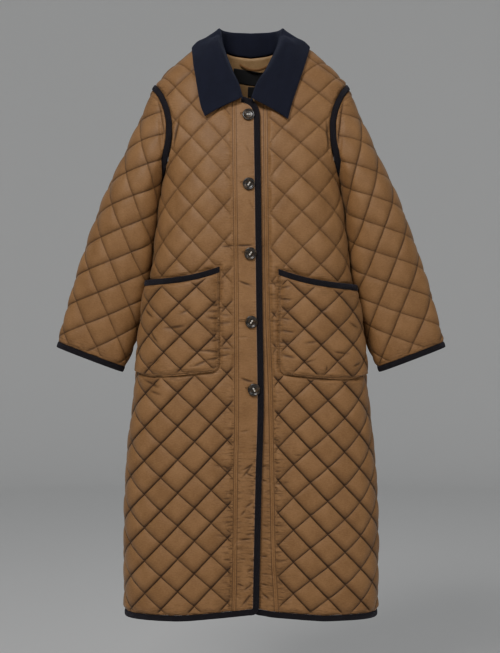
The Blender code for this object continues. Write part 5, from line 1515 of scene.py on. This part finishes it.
def back_panel():
    surface = BODY[BACK]
    hem_top = HEM_Z + BINDING_WIDTH + SEAM_GAP
    end = float(surface.girth(hem_top)) - SEAM_GAP / 2
    across = np.linspace(-end, end, odd(2 * end, BACK_STEP))
    bottom = np.stack([across, np.full(len(across), hem_top)], axis=1)
    low_rows = odd(UNDERARM_Z - hem_top, BACK_STEP) - 1
    heights = np.linspace(hem_top, UNDERARM_Z, low_rows, endpoint=False)
    right_low = np.stack([surface.girth(heights) - SEAM_GAP / 2, heights], axis=1)
    right_high = spread(armhole_path(BACK)[::-1], odd(0.27, BACK_STEP))
    right = np.concatenate([right_low, right_high])
    half = np.array(neck_path(BACK, 0.0) + shoulder_path(BACK)[1:])
    top = spread(np.concatenate([half[::-1] * [-1, 1], half[1:]]), len(bottom))
    bottom[-1], bottom[0] = right[0], right[0] * [-1, 1]
    top[-1], top[0] = right[-1], right[-1] * [-1, 1]
    grid = filled(bottom, top, right * [-1, 1], right)
    u, w = grid[..., 0], grid[..., 1]
    to_left, to_right, to_hem, to_top = edge_distance(grid)
    to_side = np.minimum(to_left, to_right)
    relief = (
        edge_puckers(81, u, to_hem, 0.010, 0.0011)
        + edge_puckers(84, w, to_side, 0.013, 0.0009)
        + edge_puckers(87, u, to_top, 0.010, 0.0008))
    gathered = np.maximum(0.8 * fading(to_hem, 0.012), 0.5 * fading(to_side, 0.012))
    return quilted_piece("back", grid, back_frame, relief, gathered=gathered, strength=deepening(w)), grid


def pocket_panel(pocket):
    name = "pocket_" + side_name(pocket.side)
    mouth, outer, base, inner = pocket_edges(pocket)
    lowered = mouth - [0, BINDING_WIDTH]
    outer = outer[outer[:, 1] < lowered[-1][1] - 0.0005]
    inner = inner[inner[:, 1] < lowered[0][1] - 0.0005]
    rows = odd(0.205, PANEL_STEP)
    cols = odd(0.20, PANEL_STEP)
    left = spread(np.concatenate([inner, lowered[:1]]), rows)
    right = spread(np.concatenate([lowered[-1:], outer, base[:1]])[::-1], rows)
    bottom = spread(base[::-1], cols)
    top = spread(lowered, cols)
    bottom[0], top[0], bottom[-1], top[-1] = left[0], left[-1], right[0], right[-1]
    grid = filled(bottom, top, left, right)
    u, w = grid[..., 0], grid[..., 1]
    to_left, to_right, to_low, to_top = edge_distance(grid)
    sewn = smallest(to_left, to_right, to_low)
    creases = creased(name, pocket.side, u, w)
    relief = (
        creases
        + edge_puckers(91 + pocket.side, u + w, sewn, 0.012, 0.0012)
        + edge_puckers(94 + pocket.side, u, to_top, 0.010, 0.0008)
        + drawn_in(sewn - POCKET_ROW))
    obj = quilted_piece(
        name, grid, pocket_frame(pocket), relief, (sewn - POCKET_ROW, u + w),
        starts=(POCKET_ROW, POCKET_ROW, POCKET_ROW, 0.0),
        gathered=np.maximum(0.9 * fading(sewn, 0.014), 0.5 * fading(to_top, 0.010)),
        strength=1.15, folded=fold_shadow(creases))
    return obj, grid, lowered + [0, SEAM_GAP], mouth


def sleeve_panel(sleeve, side):
    name = "sleeve_" + side_name(side)
    cuff = BINDING_WIDTH + SEAM_GAP
    cols = odd(0.40, PANEL_STEP)
    rows = odd(0.53, PANEL_STEP)
    widths = sleeve.across(sleeve.turns, np.full(sleeve.TURNS, 0.2))
    turns = np.interp(np.linspace(widths[0], widths[-1], cols), widths, sleeve.turns)
    caps = np.interp(turns, sleeve.turns, sleeve.cap)
    shares = np.linspace(0, 1, rows)[:, None]
    up = cuff + shares * (caps[None] - cuff)
    turn = np.broadcast_to(turns, up.shape)
    across = sleeve.across(turn, up)
    grid = np.stack([across, up], axis=-1)
    spots = np.stack([turn, up], axis=-1)
    to_left, to_right, to_cuff, to_cap = edge_distance(grid)
    high = smoothstep((up - 0.36) / 0.10)
    relief = (
        edge_puckers(101 + side, across, to_cap, 0.022, 0.0016) * (0.4 + 0.6 * high)
        + edge_puckers(104 + side, across, to_cuff, 0.010, 0.0010)
        + edge_puckers(107 + side, up, np.minimum(to_left, to_right), 0.012, 0.0008))
    x, y, z = np.moveaxis(sleeve.looked_up(turn, up)[..., :3], -1, 0)
    fold = (x - SLEEVE_FOLD.x - SLEEVE_FOLD.slope * (z - SLEEVE_FOLD.top_z)) / SLEEVE_FOLD.width
    ends = np.clip(1 - ((z - SLEEVE_FOLD.middle_z) / SLEEVE_FOLD.half_length) ** 2, 0, 1)
    relief = relief + SLEEVE_FOLD.depth * np.exp(-fold**2) * ends * (y < 0)
    gathered = np.maximum(0.8 * fading(to_cuff, 0.012), 0.7 * fading(to_cap, 0.016))
    return quilted_piece(name, grid, sleeve.frame(side), relief, spots=spots, gathered=gathered,
                         strength=0.80), grid


def cuff_tape(sleeve, side):
    turns = round_turns(2 * round(0.175 / TAPE_STEP)) - math.pi
    inner = np.stack([turns, np.full(len(turns), BINDING_WIDTH)], axis=1)
    outer = np.stack([turns, np.zeros(len(turns))], axis=1)
    name = "cuff_binding_" + side_name(side)
    return tape(name, inner, outer, sleeve.frame(side), 111 + side, closed=True, run_scale=0.056)


def armhole_tape(side):
    """The bound seam between body and sleeve, a ring that stands proud of both."""
    name = "armhole_binding_" + side_name(side)
    turns = round_turns(240) - math.pi
    ring = armhole_ring(turns)
    along = unit(np.roll(ring, -1, axis=0) - np.roll(ring, 1, axis=0))
    reach = set_in_direction(turns)
    out = unit(np.cross(along, reach))
    under = 1 - 0.8 * smoothstep(0.2 - 0.9 * np.cos(turns))
    turn = round_turns(TAPE_SIDES)
    share = 0.5 - 0.46 * signed_power(np.cos(turn), TAPE_SQUARENESS)
    rise = signed_power(np.sin(turn), TAPE_CROWN)
    run = distances(ring)
    wave = 0.0003 * noise(121 + side, run / 0.010) + 0.0004 * noise(124 + side, run / 0.03)
    high = (0.0036 * under + wave)[:, None] * np.clip(rise, 0, 1) - 0.0027 * np.clip(-rise, 0, 1)
    width = ARMHOLE_TAPE * (1.42 - 0.40 * under)[:, None] * share
    points = ring[:, None] + reach[:, None] * width[..., None] + out[:, None] * high[..., None]
    obj = looped(name, points * [side, 1, 1], "navy_tape", closed=True)
    lay = np.stack(np.broadcast_arrays(share[None] * BINDING_WIDTH, run[:, None], np.zeros((1, 1))), axis=-1)
    attribute(obj, "cloth", lay)
    return piece(obj, "navy_tape", name)


def lying_over(point):
    """The point moved out until the collar clears the cloth below it."""
    x, y, z = point
    face = FRONT if y < 0.01 else BACK
    ridge = float(ridge_z(abs(x)))
    if z >= ridge:
        return np.array([x, y, max(z, ridge + COLLAR_CLEARANCE)])
    across, up = BODY[face].flat(abs(x), z)
    here, out = BODY[face].frame(math.copysign(across, x), up)
    return point + out * max(0.0, COLLAR_CLEARANCE - float((point - here) @ out))


def collar_section(row, side, face):
    """One section of the collar, from the neck edge over the fold to the loose edge."""
    across, up = BODY[face].flat(row.neck_x, row.neck_z)
    neck = BODY[face].points(side * max(across, 1e-6), up)
    fold = np.array([side * row.fold_x, row.fold_y, row.fold_z])
    edge_y = face * float(depth_at(face, row.edge_x, row.edge_z))
    edge = lying_over(np.array([side * row.edge_x, edge_y, row.edge_z]))
    away = unit((edge - fold) * [1, 1, 0])
    start = neck + unit(fold - neck) * COLLAR_SEAM - away * COLLAR_INSET
    inside_roll = fold - away * COLLAR_ROLL * 0.5 - [0, 0, COLLAR_ROLL]
    outside_roll = fold + away * COLLAR_ROLL * 1.1 - [0, 0, COLLAR_ROLL * 0.7]
    falls = []
    for share in (0.0, 0.22, 0.46, 0.72):
        bulge = away * COLLAR_BULGE * math.sin(math.pi * share)
        falls.append(lying_over(outside_roll + (edge - outside_roll) * share + bulge))
    return [start, (start + inside_roll) / 2, inside_roll, fold, *falls, edge]


def collar():
    halves = []
    for side, front_rows in ((RIGHT, COLLAR_FRONT_RIGHT), (LEFT, COLLAR_FRONT_LEFT)):
        rows = np.array(front_rows + COLLAR_BACK, dtype=float)
        curves = [curve_through(list(enumerate(values))) for values in rows.T]
        half = []
        for place in np.linspace(0, len(rows) - 1, (len(rows) - 1) * COLLAR_STEPS + 1):
            face = FRONT if place < len(front_rows) else BACK
            half.append(collar_section(Fold(*[float(curve(place)) for curve in curves]), side, face))
        halves.append(np.array(half))
    grid = np.concatenate([halves[0], halves[1][::-1][1:]])
    grid = refined(refined(grid, 0, 4), 1, 6)
    return slab("collar", grid, COLLAR_THICKNESS, "collar_cord"), grid


def slab(name, grid, thickness, material):
    """Cloth of even thickness round a grid of points, with a rounded rim."""
    down, right = np.gradient(grid, axis=0), np.gradient(grid, axis=1)
    out = unit(np.cross(right, down))
    lay_u, lay_v = grid_runs(grid)
    to_rim = smallest(*edge_distance(grid))
    half = thickness / 2 * (0.55 + 0.45 * smoothstep(to_rim / 0.003))
    outer, inner = grid + out * half[..., None], grid - out * half[..., None]
    ends = grid.copy()
    ends[0] -= unit(down[0]) * thickness * 0.35
    ends[-1] += unit(down[-1]) * thickness * 0.35
    ends[:, 0] -= unit(right[:, 0]) * thickness * 0.35
    ends[:, -1] += unit(right[:, -1]) * thickness * 0.35
    ring = border(*grid.shape[:2])
    count = grid[..., 0].size
    faces = grid_faces(*grid.shape[:2]) + grid_faces(*grid.shape[:2], count, turned=True)
    for k, a in enumerate(ring):
        n = (k + 1) % len(ring)
        b, p, q = int(ring[n]), 2 * count + k, 2 * count + n
        faces.append([b, int(a), p, q])
        faces.append([q, p, int(a) + count, b + count])
    points = np.concatenate([outer.reshape(-1, 3), inner.reshape(-1, 3), ends.reshape(-1, 3)[ring]])
    obj = built(name, points, faces, [material])
    lay = np.stack([lay_u, lay_v, to_rim], axis=-1).reshape(-1, 3)
    attribute(obj, "cloth", np.concatenate([lay, lay, lay[ring]]))
    return piece(obj, material, name)


def button(number):
    """A turned horn button with a raised rim, and two short bars of pale thread in its hollow."""
    spot = BUTTONS[number]
    name = f"button_{number + 1}"
    here, out = front_frame(RIGHT)(-spot.x, spot.z)
    place = Vector((0, 0, 1)).rotation_difference(Vector(out)).to_matrix().to_4x4()
    place.translation = Vector(here + out * spot.lift)
    disc = looped(name, [[(share * BUTTON_RADIUS * math.cos(a), share * BUTTON_RADIUS * math.sin(a), height)
                          for a in round_turns(BUTTON_SEGMENTS)] for share, height in BUTTON_PROFILE], "horn")
    disc.data.transform(place)
    piece(disc, "horn", name)
    for part, offset in enumerate(THREAD_OFFSETS, 1):
        rings = []
        for share in np.linspace(-1, 1, 9):
            size = THREAD_THICKNESS * math.sqrt(max(1 - share**4, 0.04))
            middle = offset + share * THREAD_LENGTH / 2
            rings.append([(size * math.cos(a), middle, THREAD_HEIGHT + size * 0.8 * math.sin(a))
                          for a in round_turns(12)])
        bar = looped(f"thread_{number + 1}_{part}", rings, "thread")
        bar.data.transform(place @ Matrix.Rotation(math.radians(-spot.turn), 4, "Z"))
        piece(bar, "horn")


def buttonhole(number):
    """The worked slit that a button passes through, running in from the button towards the seam."""
    spot = BUTTONS[number]
    start, end = 0.002 - spot.x, spot.slit - spot.x
    middle, reach = (start + end) / 2, (end - start) / 2 - SLIT_HALF_WIDTH
    around = round_turns(8)
    rings = []
    for turn in round_turns(60):
        level, rise = math.cos(turn), math.sin(turn)
        aside = SLIT_HALF_WIDTH + SLIT_THICKNESS * np.cos(around)
        u = middle + math.copysign(reach * min(1.0, abs(level) * 1.6), level) + aside * level
        here, out = front_frame(RIGHT)(u, spot.z + SLIT_RISE + aside * rise)
        rings.append(here + out * (0.0002 + SLIT_THICKNESS * 0.7 * np.sin(around))[:, None])
    obj = looped(f"buttonhole_{number + 1}", rings, "plain_satin", closed=True)
    size = (len(obj.data.vertices), 3)
    attribute(obj, "cloth", np.random.default_rng(5).uniform(0, 0.01, size))
    attribute(obj, "stitch", np.zeros(size))
    return piece(obj, "plain_satin")


def hanger_loop():
    """A flat loop inside the back of the neck, sewn down at both ends."""
    shares = np.linspace(0, 1, 61)
    x = LOOP_SPAN[0] + (LOOP_SPAN[1] - LOOP_SPAN[0]) * shares
    up = np.array([BODY[BACK].flat(abs(v), LOOP_Z)[1] for v in x])
    sag = LOOP_SAG * np.sin(math.pi * shares) ** 0.8
    off = LOOP_SEAT + (LOOP_STAND_OFF - LOOP_SEAT) * np.sin(math.pi * shares)
    widths = np.linspace(0, 1, 7)
    here, out = back_frame(x[:, None], (up - 0.006 - sag)[:, None] - widths[None] * LOOP_WIDTH)
    crown = 0.0003 * np.sin(math.pi * widths)
    grid = here - out * ((off + 0.0007)[:, None] + crown[None])[..., None]
    obj = slab("hanger_loop", grid, 0.0014, "plain_satin")
    attribute(obj, "stitch", np.tile([1.0, 0.0, 0.0], (len(obj.data.vertices), 1)))
    return obj


def neck_patch(patch):
    """A small bare label lying inside the back."""
    across, up = BODY[BACK].flat(abs(patch.x), patch.z)
    across = math.copysign(across, patch.x)
    i = np.linspace(-0.5, 0.5, 25)[:, None] * patch.width
    j = np.linspace(-0.5, 0.5, 15)[None] * patch.height
    u = across + i * math.cos(patch.tilt) - j * math.sin(patch.tilt)
    w = up + i * math.sin(patch.tilt) + j * math.cos(patch.tilt)
    here, out = back_frame(u, w)
    lift = LABEL_DEPTH + patch.thickness / 2 + 0.0003 * noise(131, i / 0.014, j / 0.02)
    return slab(patch.name, here - out * lift[..., None], patch.thickness, "label_black")


def make_coat():
    back, back_grid = back_panel()
    end = float(BODY[BACK].girth(HEM_Z)) - SEAM_GAP / 2
    across = np.linspace(-end, end, odd(2 * end, TAPE_STEP))
    inner = np.stack([across, np.full(len(across), HEM_Z + BINDING_WIDTH)], axis=1)
    outer = np.stack([across, np.full(len(across), HEM_Z)], axis=1)
    hem = tape("hem_binding_back", inner, outer, back_frame, 141)
    loop, label, tab = hanger_loop(), neck_patch(LABEL), neck_patch(SIZE_TAB)
    sleeve = Sleeve()
    for side in (RIGHT, LEFT):
        front, grid = front_panel(side)
        name = "edge_binding_" + side_name(side)
        edge = tape(name, inside_edge(side), finished_edge(side), front_frame(side), 151 + side)
        band, grid = placket(side)
        arm, grid = sleeve_panel(sleeve, side)
        cuff_tape(sleeve, side)
        armhole_tape(side)
    for pocket in POCKETS:
        patch, grid, lower, mouth = pocket_panel(pocket)
        name = "pocket_binding_" + side_name(pocket.side)
        rim = tape(name, spread(lower, 73), spread(mouth, 73), pocket_frame(pocket), 161 + pocket.side)
    turn_down, grid = collar()
    for number in range(len(BUTTONS)):
        buttonhole(number)
        button(number)


# ---------------------------------------------------------------- the studio
def backdrop():
    """A round pale floor whose rim runs up in one sweep, wider than a walk round the coat."""
    rises = [(FLOOR_FLAT + FLOOR_SWEEP * math.sin(turn), FLOOR_SWEEP * (1 - math.cos(turn)))
             for turn in np.linspace(0, math.pi / 2, 24)]
    profile = [(0.0005, 0), (FLOOR_FLAT / 2, 0), *rises, (FLOOR_FLAT + FLOOR_SWEEP, FLOOR_RIM)]
    turns = np.linspace(0, 2 * math.pi, 97)
    grid = np.array([[(r * math.sin(t), r * math.cos(t), FLOOR_Z + h) for t in turns] for r, h in profile])
    obj = built("studio_floor", grid, grid_faces(len(profile), len(turns)), ["floor"])


def light(name, place, target, size, power):
    data = bpy.data.lights.new(name, "AREA")
    data.shape = "RECTANGLE"
    data.size, data.size_y = size
    data.energy = power
    obj = bpy.data.objects.new(name, data)
    obj.location = place
    obj.rotation_euler = (Vector(target) - Vector(place)).to_track_quat("-Z", "Y").to_euler()
    bpy.context.scene.collection.objects.link(obj)


def make_studio():
    backdrop()
    for row in LIGHTS:
        light(*row)
    world = bpy.data.worlds.new("studio")
    world.use_nodes = True
    background = world.node_tree.nodes["Background"]
    background.inputs["Color"].default_value = (*WORLD_COLOUR, 1)
    background.inputs["Strength"].default_value = WORLD_STRENGTH
    bpy.context.scene.world = world
    camera = bpy.data.cameras.new("camera")
    camera.sensor_width = SENSOR
    camera.lens = SENSOR * PIXELS_PER_METRE * CAMERA_DISTANCE / PICTURE_HEIGHT
    obj = bpy.data.objects.new("camera", camera)
    obj.location = (CAMERA_X, -CAMERA_DISTANCE, CAMERA_Z)
    obj.rotation_euler = (math.radians(90), 0, 0)
    bpy.context.scene.collection.objects.link(obj)
    bpy.context.scene.camera = obj


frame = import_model()
make_materials()
make_coat()
make_studio()
bpy.context.view_layer.update()
